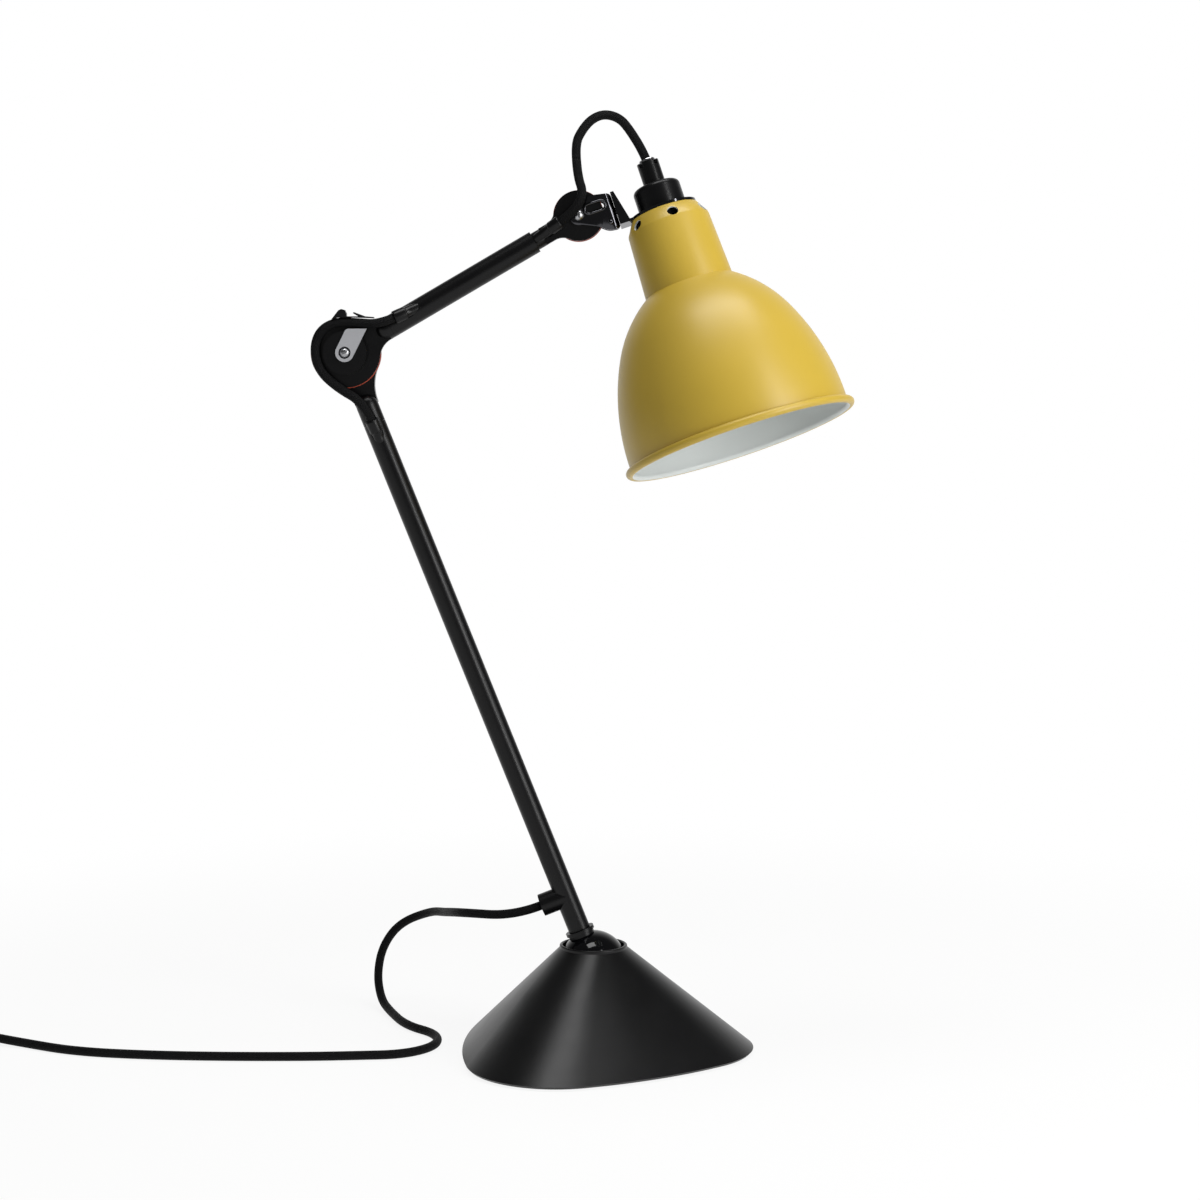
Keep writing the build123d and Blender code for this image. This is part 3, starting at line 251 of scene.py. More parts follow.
def plated_steel(name, colour, roughness, streak=0.0):
    """Plated or bare steel: bright, with fine handling marks; streak stretches them into brushing."""
    material, tree, shader = surface(name, colour, Metallic=1.0, Roughness=roughness)
    place = add(tree, "ShaderNodeTexCoord")
    stretch = add(tree, "ShaderNodeMapping", {"Vector": place.outputs["Object"], "Scale": (1, 1, 1 + streak)})
    noise = {"Vector": stretch.outputs["Vector"], "Scale": 1 / PLATING_MARK, "Detail": 6}
    marks = add(tree, "ShaderNodeTexNoise", noise).outputs["Fac"]
    spread = (roughness * 0.7, roughness * 1.4)
    vary(tree, shader, marks, colour, (0.85, 1.1), spread, speckle(tree, PLATING_DENT, 1), 0.00001)
    return material


def moulded(name, colour, roughness, grain, depth):
    """Injection-moulded plastic or rubber: a spark-eroded grain all over, which dulls its highlights."""
    material, tree, shader = surface(name, colour, Roughness=roughness, IOR=1.49, Specular_IOR_Level=0.2)
    place = add(tree, "ShaderNodeTexCoord")
    spark = add(tree, "ShaderNodeTexVoronoi", {"Vector": place.outputs["Object"], "Scale": 1 / grain})
    cloud = speckle(tree, MOULD_CLOUD, 3)
    spread = (roughness - 0.06, roughness + 0.06)
    vary(tree, shader, cloud, colour, (0.85, 1.15), spread, spark.outputs["Distance"], depth)
    return material


def braided_rayon(name, colour, pitch, radius):
    """Braided rayon sleeve over the cord: two sets of slanted threads, pitch wide, that break up its shine.

    The braid on the real cord is about 0.5 mm; it is drawn at pitch so that it shows.
    """
    material, tree, shader = surface(name, colour, Roughness=0.6, IOR=1.5, Specular_IOR_Level=0.1)
    uv = add(tree, "ShaderNodeUVMap", uv_map="UVMap")
    parts = add(tree, "ShaderNodeSeparateXYZ", {0: uv.outputs["UV"]}).outputs
    strands = round(2 * math.pi * radius / pitch)
    stitches = 1 / (BRAID_SLANT * pitch)
    around = add(tree, "ShaderNodeMath", {0: parts["X"], 1: strands}, operation="MULTIPLY").outputs[0]
    along = add(tree, "ShaderNodeMath", {0: parts["Y"], 1: stitches}, operation="MULTIPLY").outputs[0]
    waves = []
    for operation in ("ADD", "SUBTRACT"):
        slant = add(tree, "ShaderNodeMath", {0: around, 1: along}, operation=operation)
        turn = add(tree, "ShaderNodeMath", {0: slant.outputs[0], 1: 2 * math.pi}, operation="MULTIPLY")
        waves.append(add(tree, "ShaderNodeMath", {0: turn.outputs[0]}, operation="SINE").outputs[0])
    braid = add(tree, "ShaderNodeMath", {0: waves[0], 1: waves[1]}, operation="MAXIMUM")
    level = add(tree, "ShaderNodeMapRange", {"Value": braid.outputs[0], "From Min": -0.8, "From Max": 1.0})
    thread_height_and_shade = level.outputs["Result"]
    # The colour follows the threads' height: painted shade darkens the gaps between the threads to 0.35 of
    # the colour, and a painted highlight lightens their crowns to 1.5 of it.
    vary(tree, shader, thread_height_and_shade, colour, (0.35, 1.5), None, thread_height_and_shade, BRAID_DEPTH)
    return material


def enamel(name, colour):
    """Sprayed satin enamel on spun metal: very even, with a faint orange peel."""
    material, tree, shader = surface(name, colour, IOR=1.5, Specular_IOR_Level=0.5)
    cloud, peel = speckle(tree, ENAMEL_CLOUD, 2), speckle(tree, ENAMEL_PEEL, 2)
    vary(tree, shader, cloud, colour, (0.97, 1.03), (0.37, 0.42), peel, 0.00002)
    return material


def frosted(name, colour):
    """Acid-etched lamp glass: milky, with light let through."""
    milk = {"Transmission_Weight": 0.35, "Subsurface_Weight": 0.2}
    material, tree, shader = surface(name, colour, Roughness=0.35, IOR=1.5, **milk)
    etching = {"Height": speckle(tree, ETCH_GRAIN, 2), "Distance": 0.00001}
    add(tree, "ShaderNodeBump", etching, {"Normal": shader.inputs["Normal"]})
    return material


FINISH = {}


def make_finishes():
    """Makes each finish once, from the colours in the panel."""
    c = bpy.context.scene.lamp_finishes
    s = bpy.context.scene.lamp_sizes
    FINISH["base"] = powder_coat("matt_powder_coat_black", c.base, 0.34, 0.0009, 0.00001, 0.28)
    FINISH["arm"] = powder_coat("satin_powder_coat_black", c.arm, 0.32, 0.0025, 0.0000015, 0.22)
    FINISH["ball"] = powder_coat("gloss_black_lacquer", c.ball, 0.08, 0.004, 0.000003, 0.25)
    FINISH["shade"] = enamel("satin_enamel_yellow", c.shade)
    FINISH["shade_inside"] = enamel("satin_enamel_white", c.shade_inside)
    FINISH["chrome"] = plated_steel("chrome_plated_steel", c.chrome, 0.08)
    FINISH["dark_nickel"] = plated_steel("black_nickel_plated_steel", c.dark_nickel, 0.1)
    FINISH["plate"] = plated_steel("brushed_stainless_steel", c.plate, 0.42, 30.0)
    FINISH["zinc"] = plated_steel("zinc_plated_steel", c.zinc, 0.3)
    FINISH["iron"] = plated_steel("raw_grey_iron", linear("#6a6560"), 0.6)
    FINISH["brass"] = plated_steel("pressed_brass", linear("#c9a25a"), 0.25)
    FINISH["fibre"] = moulded("salmon_fibre_washer", c.washer, 0.7, 0.0007, 0.00003)
    FINISH["plastic"] = moulded("moulded_phenolic_black", c.plastic, 0.36, 0.0006, 0.00001)
    FINISH["rubber"] = moulded("foot_rubber_black", linear("#1c1c1c"), 0.85, 0.001, 0.00005)
    FINISH["cord"] = braided_rayon("braided_rayon_black", c.cord, s.braid_pitch, s.cord_radius)
    FINISH["glass"] = frosted("frosted_lamp_glass", linear("#f4f2ea"))


NODE_FINISH = {
    "dark_nickel": ["swivel_rivet", "shade_bracket"],
    "base": ["base_shell"],
    "iron": ["base_ballast"],
    "zinc": ["base_cover_plate", "disc_springs", "switch_screws"],
    "rubber": ["foot_pad"],
    "plate": ["ball_retainer", "socket_plug", "tension_plate"],
    "ball": ["swivel_ball"],
    "arm": [
        "ball_collar",
        "lower_tube",
        "lead_inlet",
        "elbow_lower_knuckle",
        "elbow_upper_knuckle",
        "upper_tube",
        "head_knuckle",
        "head_disc",
        "lampholder_cap",
        "cord_grip",
    ],
    "plastic": [
        "friction_cup",
        "inlet_bush",
        "cable_clip",
        "lampholder_body",
        "shade_ring",
        "coil_tie",
        "switch_case_top",
        "switch_case_bottom",
        "switch_rocker",
        "plug_body",
        "lower_arm_lead",
        "upper_arm_lead",
        "holder_lead",
    ],
    "fibre": ["elbow_washer", "head_washer"],
    "chrome": ["plug_pins"],
    "brass": ["contact_shell", "centre_contact", "bulb_cap"],
}


def give(piece, finish):
    """Gives a piece one finish all over."""
    piece.data.materials.clear()
    piece.data.materials.append(FINISH[finish])


# Cords


def spline_line(name, points):
    """The smooth line of a route: a NURBS spline with the route's points as its control points."""
    curve = bpy.data.curves.new(name, "CURVE")
    curve.dimensions = "3D"
    curve.resolution_u = 12
    spline = curve.splines.new("NURBS")
    spline.points.add(len(points) - 1)
    for point, place in zip(spline.points, points):
        point.co = (*place, 1)
    spline.order_u = 3
    spline.use_endpoint_u = True
    holder = bpy.data.objects.new(name, curve)
    bpy.context.scene.collection.objects.link(holder)
    bpy.context.view_layer.update()
    evaluated = holder.evaluated_get(bpy.context.evaluated_depsgraph_get())
    line = [v.co.copy() for v in bpy.data.meshes.new_from_object(evaluated).vertices]
    bpy.data.objects.remove(holder)
    return line


def length_of(line):
    """The length of a line of points."""
    return sum((b - a).length for a, b in zip(line, line[1:]))


def sleeve(name, line, radius, start_along=0.0, sides=20):
    """A round tube along a line, with a UV map that runs round it and along it in metres."""
    mesh = bpy.data.meshes.new(name)
    form = bmesh.new()
    heading = (line[1] - line[0]).normalized()
    side = heading.orthogonal().normalized()
    rings, along, travelled = [], [], start_along
    for k, point in enumerate(line):
        before, after = line[max(k - 1, 0)], line[min(k + 1, len(line) - 1)]
        new_heading = (after - before).normalized()
        side = heading.rotation_difference(new_heading) @ side
        heading = new_heading
        other = heading.cross(side)
        turns = [2 * math.pi * j / sides for j in range(sides)]
        spokes = [side * math.cos(turn) + other * math.sin(turn) for turn in turns]
        rings.append([form.verts.new(point + spoke * radius) for spoke in spokes])
        travelled += (point - line[k - 1]).length if k else 0
        along.append(travelled)
    uv = form.loops.layers.uv.new("UVMap")
    for k in range(len(rings) - 1):
        for j in range(sides):
            corners = (
                (rings[k][j], j, k),
                (rings[k][(j + 1) % sides], j + 1, k),
                (rings[k + 1][(j + 1) % sides], j + 1, k + 1),
                (rings[k + 1][j], j, k + 1),
            )
            face = form.faces.new([c[0] for c in corners])
            face.smooth = True
            for loop, (_, around, row) in zip(face.loops, corners):
                loop[uv].uv = (around / sides, along[row])
    form.faces.new(list(reversed(rings[0])))
    form.faces.new(rings[-1])
    form.to_mesh(mesh)
    form.free()
    piece = bpy.data.objects.new(name, mesh)
    bpy.context.scene.collection.objects.link(piece)
    give(piece, "cord")
    return piece


def lead_tube(name, line, body, nodes, start_along=0.0, blended=None):
    """One length of the mains lead; when blended is given, it is left in the lamp's frame instead of being
    attached to a body.
    """
    radius = bpy.context.scene.lamp_sizes.cord_radius
    piece = sleeve(name, line, radius, start_along)
    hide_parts(*nodes)
    if blended:
        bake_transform(piece)
    else:
        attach(piece, body)


def coil_route(start):
    """The coil's route: half turns that shrink, one that climbs a layer, and half turns out again."""
    count = COIL_HALF_TURNS
    steps = [*range(count), count, *range(count - 1, -1, -1)]
    at, side = Vector(start), 1
    points, count_each = [], 8
    wide = 1 / math.cos(math.pi / 2 / count_each)  # control points stand this much outside their arc
    for k, step in enumerate(steps):
        radius = COIL_R - step * COIL_STEP
        climb = COIL_LAYER if k == count else 0
        reach = math.sqrt(radius**2 - (climb / 2) ** 2)
        middle = at + Vector((0, -side * reach, climb / 2))
        for j in range(count_each):
            turn = math.pi * (j + 0.5) / count_each
            out = -side * radius * math.sin(turn) * wide
            across = side * reach * math.cos(turn) * wide
            rise = -climb / 2 * math.cos(turn) * wide
            points.append(middle + Vector((out, across, rise)))
        at, side = at + Vector((0, -side * 2 * reach, climb)), -side
    return points, at


def make_mains_lead():
    """The mains lead from the inlet over the table, through the switch, to the coil and the plug."""
    first = INLET - LOWER_X * INLET_RUN
    split = (Vector(LEAD_DROP[-1]) + Vector(LEAD_FLOOR[0])) / 2
    drop = spline_line("drop_line", [INLET, first, *LEAD_DROP, split])
    cuts = [0, *[round(len(drop) * share) for share in DROP_CUTS], len(drop) - 1]
    names = ["lead_drop_top", "lead_drop_middle", "lead_drop_foot"]
    pairs = [("lower_arm", "ball"), ("ball", "ball_seat"), ("ball_seat", "base")]
    along = 0.0
    for k, (name, pair) in enumerate(zip(names, pairs)):
        line = drop[cuts[k] : cuts[k + 1] + 1]
        nodes = ["mains_lead_drop"]
        lead_tube(name, line, None, nodes, start_along=along, blended=pair)
        along += length_of(line)
    floor = spline_line("floor_line", [split, *LEAD_FLOOR, SWITCH_START])
    lead_tube("lead_on_table", floor, "base", ["mains_lead_floor"], along)
    link = [
        SWITCH_END,
        SWITCH_END + Vector((-0.015, 0, 0)),
        COIL_START + Vector((0.017, 0, 0)),
        COIL_START + COIL_STUB,
    ]
    lead_tube("lead_link", spline_line("link_line", link), "base", ["mains_lead_link"])
    turns, last = coil_route(COIL_START)
    coil = spline_line("coil_line", [COIL_START + COIL_STUB, COIL_START, *turns, last, last + COIL_STUB])
    lead_tube("lead_coil", coil, "base", ["mains_lead_coil"])


def held_cable(name, points, node):
    """A cable that the lamp holds at both ends, left in the lamp's frame."""
    line = spline_line(name + "_line", points)
    piece = sleeve(name, line, bpy.context.scene.lamp_sizes.cord_radius)
    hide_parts(node)
    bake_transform(piece)


def make_held_cables():
    """The cable round the elbow and the cable that arches over the head joint."""
    low, high = in_lower(LOWER_MOUTH), in_upper(UPPER_MOUTH)
    low_way = (low - in_lower(LOWER_MOUTH_FROM)).normalized()
    high_way = (high - in_upper(UPPER_MOUTH_FROM)).normalized()
    middle = [ELBOW + Vector(p) for p in ELBOW_CABLE]
    route = [low - low_way * CABLE_TUCK, low + low_way * CABLE_RUN, *middle]
    route += [high + high_way * 0.009, high - high_way * CABLE_TUCK]
    held_cable("elbow_loop", route, "elbow_cable")
    start = in_upper(HEAD_MOUTH)
    way = (start - in_upper(HEAD_MOUTH_FROM)).normalized()
    split = HEAD + Vector(HEAD_CABLE_SPLIT)
    low_part = [start - way * CABLE_TUCK, start + way * CABLE_RUN]
    low_part += [*[HEAD + Vector(p) for p in HEAD_CABLE_LOW], split]
    held_cable("head_loop_low", low_part, "head_cable_low")
    over = [HEAD + Vector(p) for p in HEAD_CABLE_HIGH]
    high_part = [split, *over, GRIP_MOUTH + SHADE_Z * 0.005, GRIP_MOUTH - SHADE_Z * CABLE_TUCK]
    held_cable("head_loop_high", high_part, "head_cable_high")


# Turned and cut pieces

SHADE_WALL = 0.001
SHADE_HOLE_R = 0.014
SHADE_TOP_R = 0.0198
SHOULDER = (0.0240, -0.0076)
NECK = (0.0261, -0.0460)
BELL_MID = (0.0514, -0.0749)
BELL_FOOT = (0.0652, -0.1340)
LOW_ARC = (-0.06825, -0.1340)  # the middle of the bell's lower arc
HIGH_ARC = (-0.0155, -0.10795)  # and of its upper one
BEAD = (0.0663, -0.1387)
BEAD_R = 0.0023
VENT_R = 0.0032
VENT_DOWN = 0.0054
VENT_TURN = -80.0
VENTS = 6
BULB_R = 0.022
BULB_MID = -0.062
BULB_NECK_R = 0.0086
BULB_FOOT = -0.033
FIT = 0.00005  # between a screw and what turns on it
CLEAR = 0.02  # cutters reach this far to each side
ACROSS = Matrix.Rotation(math.pi / 2, 4, "X")
SCREW_R = 0.002
SCREW_HEAD_R = 0.0029
SCREW_HEAD_T = 0.0016
SCREW_SLOT = (0.0032, 0.0009, 0.0016, 1)
ELBOW_SCREW = (-0.0084, 0.01265)  # under its head, and its end, along Y from the pivot
HEAD_SCREW = (-0.0069, 0.0111)
BASE_SCREW_RING_R = 0.048
BASE_SCREW_FACE = 0.0015  # heights over the table
BASE_SCREW_NECK = 0.0035
BASE_SCREW_END = 0.014
BASE_SCREW_HEAD_R = 0.004
BASE_SCREW_WING = (0.0044, 0.0009, 0.0024, 1)
STIRRUP_OUTER = 0.0069
STIRRUP_INNER = 0.0055
STIRRUP_REACH = 0.0211
STIRRUP_TAIL = -0.008
STIRRUP_BEND = 0.0042
STIRRUP_END_R = 0.0055
STIRRUP_SIDE = [
    (0.0090, -0.0095),
    (0.0140, -0.0136),
    (0.0211, -0.0145),
    (0.0211, 0.0065),
    (0.0090, 0.0090),
]
STIRRUP_SLOT = (0.0103, 0.0015)
STIRRUP_SLOT_REACH = 0.0034
STIRRUP_SLOT_HALF = 0.0021
SLOT_LIP_HALF = 0.0028
SLOT_LIP_R = 0.0008
SWIVEL_HOLE_R = 0.00205
SPOT_RIVET = (0.0166, -0.0096)
NUT_R = 0.0042
NUT_T = 0.0032
ELBOW_NUT_AT = 0.00805
HEAD_NUT_AT = 0.0069
BUSH_BORE = 0.00273


def only(piece):
    """Selects one piece alone."""
    bpy.ops.object.select_all(action="DESELECT")
    piece.select_set(True)
    bpy.context.view_layer.objects.active = piece


def smooth(piece, degrees=35):
    """Smooth shading, with edges sharper than the angle kept."""
    only(piece)
    bpy.ops.object.shade_smooth_by_angle(angle=math.radians(degrees))


def arc(middle, radius, start, end, count):
    """Points on an arc, with its angles in degrees."""
    turns = [math.radians(start + (end - start) * k / count) for k in range(count + 1)]
    return [(middle[0] + radius * math.cos(t), middle[1] + radius * math.sin(t)) for t in turns]


def arc_between(middle, start, end, inset, count):
    """Points on an arc about middle, from the heading of start to that of end, moved in by inset."""
    first, last = [math.degrees(math.atan2(p[1] - middle[1], p[0] - middle[0])) for p in (start, end)]
    return arc(middle, math.dist(middle, start) - inset, first, last, count)


def spun(name, profile, steps, closed=False):
    """A piece turned about Z from (radius, height) points; an open profile starts and ends on the axis."""
    mesh = bpy.data.meshes.new(name)
    edges = [(k, k + 1) for k in range(len(profile) - 1)]
    if closed:
        edges.append((len(profile) - 1, 0))
    mesh.from_pydata([(r, 0, z) for r, z in profile], edges, [])
    piece = bpy.data.objects.new(name, mesh)
    bpy.context.scene.collection.objects.link(piece)
    only(piece)
    bpy.ops.object.mode_set(mode="EDIT")
    bpy.ops.mesh.select_all(action="SELECT")
    bpy.ops.mesh.spin(steps=steps, angle=2 * math.pi, center=(0, 0, 0), axis=(0, 0, 1))
    bpy.ops.mesh.select_all(action="SELECT")
    bpy.ops.mesh.remove_doubles(threshold=0.000001)
    bpy.ops.mesh.normals_make_consistent(inside=False)
    bpy.ops.object.mode_set(mode="OBJECT")
    return piece


def cutter(kind, place, **sizes):
    """A primitive that only cuts; place is its matrix."""
    bpy.ops.object.select_all(action="DESELECT")
    getattr(bpy.ops.mesh, f"primitive_{kind}_add")(**sizes)
    tool = bpy.context.object
    tool.data.transform(place)
    return tool


def cut(piece, tool, operation="DIFFERENCE"):
    """Cuts a piece with a tool and drops the tool."""
    modifier = piece.modifiers.new("cut", "BOOLEAN")
    modifier.operation = operation
    modifier.object = tool
    modifier.material_mode = "TRANSFER"
    only(piece)
    bpy.ops.object.modifier_apply(modifier="cut")
    bpy.data.objects.remove(tool)


def settle(piece, place, body, node, finish=None):
    """Moves a finished piece's mesh to its place and has it stand for a node."""
    piece.data.transform(place)
    smooth(piece)
    if finish:
        give(piece, finish)
    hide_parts(node)
    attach(piece, body)


def shade_profile():
    """The shade's section: down its outside, round the bead and up its inside."""
    wall = SHADE_WALL
    side = [(SHADE_HOLE_R, 0), (SHADE_TOP_R - 0.0006, 0), (SHADE_TOP_R, -0.0004), SHOULDER]
    side += [(SHOULDER[0] + 0.0003, SHOULDER[1] - 0.0009), NECK]
    side += arc_between(HIGH_ARC, NECK, BELL_MID, 0, 16)[1:]
    side += arc_between(LOW_ARC, BELL_MID, BELL_FOOT, 0, 20)[1:]
    side += arc(BEAD, BEAD_R, 118.6, -204.1, 28)
    side += arc_between(LOW_ARC, BELL_FOOT, BELL_MID, wall, 20)
    side += arc_between(HIGH_ARC, BELL_MID, NECK, wall, 16)[1:]
    side += [(SHOULDER[0] - wall, SHOULDER[1] - wall / 2), (SHADE_TOP_R - wall / 2, -wall)]
    return [*side, (SHADE_HOLE_R, -wall)]


def make_shade():
    """The spun shade, yellow outside and white inside, with its six vents."""
    shade = spun("shade_spun", shade_profile(), 128, closed=True)
    shade.data.materials.append(FINISH["shade"])
    shade.data.materials.append(FINISH["shade_inside"])
    for face in shade.data.polygons:
        x, y, z = face.center
        inward = -(face.normal.x * x + face.normal.y * y) / math.hypot(x, y)
        under = face.normal.z < -0.7 and z > -0.1
        face.material_index = 1 if inward > 0.4 or under else 0
    slope = math.atan2(SHOULDER[0] - SHADE_TOP_R, -SHOULDER[1])
    out = SHADE_TOP_R + (SHOULDER[0] - SHADE_TOP_R) * VENT_DOWN / -SHOULDER[1]
    for k in range(VENTS):
        turn = Matrix.Rotation(math.radians(VENT_TURN + 360 * k / VENTS), 4, "Z")
        lie = Matrix.Translation((out, 0, -VENT_DOWN)) @ Matrix.Rotation(math.pi / 2 - slope, 4, "Y")
        tool = cutter("cylinder", turn @ lie, radius=VENT_R, depth=6 * SHADE_WALL, vertices=48)
        tool.data.materials.append(FINISH["shade_inside"])
        cut(shade, tool)
    settle(shade, IN_SHADE, "shade", "shade")


def make_bulb():
    """The golf-ball bulb: a globe that runs into its neck."""
    profile = arc((0, BULB_MID), BULB_R, -90, 52, 36)
    profile += arc((0.0206, -0.0366), 0.012, 232, 180, 12)[1:]
    profile[0] = (0, profile[0][1])
    profile += [(BULB_NECK_R, BULB_FOOT - 0.0006), (BULB_NECK_R - 0.0006, BULB_FOOT), (0, BULB_FOOT)]
    bulb = spun("bulb_globe", profile, 64)
    settle(bulb, IN_SHADE, "shade", "bulb_glass", "glass")


def pivot_screw(name, at, span, x_way, body, node):
    """A pivot screw along Y with a domed head and a driver slot."""
    under, end = span
    dome = (SCREW_HEAD_R**2 + SCREW_HEAD_T**2) / (2 * SCREW_HEAD_T)
    reach = math.degrees(math.asin(SCREW_HEAD_R / dome))
    head = arc((0, SCREW_HEAD_T - dome), dome, 90, 90 - reach, 10)
    head[0] = (0, SCREW_HEAD_T)
    long = end - under
    profile = [*head, (SCREW_R, 0), (SCREW_R, -long + 0.0004), (SCREW_R - 0.0004, -long), (0, -long)]
    screw = spun(name, profile, 40)
    slot = Matrix.Translation((0, 0, SCREW_HEAD_T)) @ Matrix.Diagonal(SCREW_SLOT)
    cut(screw, cutter("cube", slot, size=1))
    place = frame_at(x_way, Vector((0, -1, 0)), at + Vector((0, under, 0)))
    settle(screw, place, body, node, "zinc")


def pivot_nut(name, at, foot, x_way, body, node):
    """A hexagonal nut with both faces chamfered, seated at foot along Y."""
    blank = [(0.0022, 0), (0.0037, 0), (NUT_R, 0.0003), (NUT_R, NUT_T - 0.0003)]
    blank += [(0.0037, NUT_T), (0.0022, NUT_T), (SCREW_R + FIT, NUT_T - 0.0002), (SCREW_R + FIT, 0.0002)]
    nut = spun(name, blank, 48, closed=True)
    block = Matrix.Translation((0, 0, NUT_T / 2))
    cut(nut, cutter("cylinder", block, radius=NUT_R, depth=2 * NUT_T, vertices=6), "INTERSECT")
    settle(nut, frame_at(x_way, Vector((0, 1, 0)), at + Vector((0, foot, 0))), body, node, "zinc")


def make_fasteners():
    """The screws and nuts of the two arm joints and the screws under the base."""
    slant = (UPPER_Z + LOWER_X).normalized()
    pivot_screw("elbow_screw_slotted", ELBOW, ELBOW_SCREW, slant, "upper_arm", "elbow_screw")
    pivot_nut("elbow_nut_chamfered", ELBOW, ELBOW_NUT_AT, UPPER_Z, "upper_arm", "elbow_nut")
    pivot_screw("head_screw_slotted", HEAD, HEAD_SCREW, ABOVE, "head_clamp", "head_screw")
    pivot_nut("head_nut_chamfered", HEAD, HEAD_NUT_AT, ALONG, "head_clamp", "head_nut")
    screws = []
    face, end, head = BASE_SCREW_FACE, BASE_SCREW_END, BASE_SCREW_HEAD_R
    for k in range(3):
        profile = [(0, face), (head - 0.0001, face), (head, face + 0.0001), (SCREW_R, BASE_SCREW_NECK)]
        profile += [(SCREW_R, end - 0.0003), (SCREW_R - 0.0004, end), (0, end)]
        screw = spun(f"base_screw_{k + 1}", profile, 40)
        for quarter in (0, math.pi / 2):
            wing = Matrix.Translation((0, 0, face)) @ Matrix.Rotation(quarter + k, 4, "Z")
            cut(screw, cutter("cube", wing @ Matrix.Diagonal(BASE_SCREW_WING), size=1))
        turn = math.radians(60 + 120 * k)
        out = Vector((math.cos(turn), math.sin(turn), 0)) * BASE_SCREW_RING_R
        screw.data.transform(Matrix.Translation(out))
        screws.append(screw)
    settle(joined(screws, "base_screws_recessed"), Matrix.Identity(4), "base", "base_screws", "zinc")


def rounded(points, radius, count=6):
    """An outline with its corners turned into short curves."""
    made = []
    for before, at, after in zip(points[-1:] + points[:-1], points, points[1:] + points[:1]):
        at = Vector(at)
        back, on = Vector(before) - at, Vector(after) - at
        back *= min(radius, 0.45 * back.length) / back.length
        on *= min(radius, 0.45 * on.length) / on.length
        made += [at + back * (1 - k / count) ** 2 + on * (k / count) ** 2 for k in range(count + 1)]
    return made


def prism(name, outline, low, high):
    """A straight block: its outline lies in X and Y, and it runs from low to high along Z."""
    mesh = bpy.data.meshes.new(name)
    mesh.from_pydata([(p[0], p[1], low) for p in outline], [], [list(range(len(outline)))])
    block = bpy.data.objects.new(name, mesh)
    bpy.context.scene.collection.objects.link(block)
    only(block)
    bpy.ops.object.mode_set(mode="EDIT")
    bpy.ops.mesh.select_all(action="SELECT")
    bpy.ops.mesh.extrude_region_move(TRANSFORM_OT_translate={"value": (0, 0, high - low)})
    bpy.ops.mesh.select_all(action="SELECT")
    bpy.ops.mesh.normals_make_consistent(inside=False)
    bpy.ops.object.mode_set(mode="OBJECT")
    return block


def side_block(name, outline, near, far):
    """A block with its outline in X and Z; near and far are measured towards the front, along -Y."""
    block = prism(name, outline, near, far)
    block.data.transform(ACROSS)
    return block


def soften(piece, width, degrees=30):
    """Rounds the edges that are sharper than the angle."""
    modifier = piece.modifiers.new("soften", "BEVEL")
    modifier.width = width
    modifier.segments = 3
    modifier.limit_method = "ANGLE"
    modifier.angle_limit = math.radians(degrees)
    only(piece)
    bpy.ops.object.modifier_apply(modifier="soften")


def joined(pieces, name):
    """Several pieces made one."""
    only(pieces[0])
    for piece in pieces:
        piece.select_set(True)
    bpy.ops.object.join()
    bpy.context.object.name = name
    return bpy.context.object


def slot_outline(half_width):
    """The outline of the stirrup's slot."""
    x, z = STIRRUP_SLOT
    left = arc((x - STIRRUP_SLOT_REACH, z), half_width, 90, 270, 16)
    return left + arc((x + STIRRUP_SLOT_REACH, z), half_width, -90, 90, 16)


def make_stirrup():
    """The folded stirrup, with its rounded bends, the pressed lip round its slot and its spot rivet."""
    outer, inner, reach, tail = STIRRUP_OUTER, STIRRUP_INNER, STIRRUP_REACH, STIRRUP_TAIL
    near, far = (reach - STIRRUP_BEND, -outer + STIRRUP_BEND), (reach - STIRRUP_BEND, outer - STIRRUP_BEND)
    strip = [(tail, -outer), *arc(near, STIRRUP_BEND, -90, 0, 10), *arc(far, STIRRUP_BEND, 0, 90, 10)]
    strip += [(tail, outer), (tail, inner)]
    within = STIRRUP_BEND - (outer - inner)
    strip += [*arc(far, within, 90, 0, 10), *arc(near, within, 0, -90, 10), (tail, -inner)]
    stirrup = prism("stirrup_folded", strip, -CLEAR, CLEAR)
    back = arc((0, 0), STIRRUP_END_R, 90, 270, 24)
    corners = [back[-1], *STIRRUP_SIDE, back[0]]
    front = rounded(corners, 0.0025)[7:-7]  # without the curves at its two ends, where the arc goes on
    cut(stirrup, side_block("side", [*back, *front], -CLEAR, CLEAR), "INTERSECT")
    cut(stirrup, side_block("slot", slot_outline(STIRRUP_SLOT_HALF), -CLEAR, CLEAR))
    cut(stirrup, cutter("cylinder", ACROSS, radius=SCREW_R + FIT, depth=0.03, vertices=40))
    ahead = Matrix.Translation((reach, 0, -SWIVEL_DROP)) @ Matrix.Rotation(math.pi / 2, 4, "Y")
    cut(stirrup, cutter("cylinder", ahead, radius=SWIVEL_HOLE_R, depth=0.01, vertices=40))
    soften(stirrup, 0.0004)
    dome = arc((0, -0.0008), 0.0017, 90, 28, 10)
    dome[0] = (0, dome[0][1])
    spot = spun("spot_rivet", [*dome, (0.0015, -0.0005), (0, -0.0005)], 32)
    x, z = SPOT_RIVET
    spot.data.transform(Matrix.Translation((x, -outer, z)) @ ACROSS)
    loop = [Vector((p[0], -outer, p[1])) for p in slot_outline(SLOT_LIP_HALF)]
    lip = sleeve("slot_lip", [*loop, *loop[:2]], SLOT_LIP_R, sides=12)
    whole = joined([stirrup, spot, lip], "stirrup_folded")
    settle(whole, frame_at(ALONG, ABOVE, HEAD), "head_clamp", "stirrup", "dark_nickel")


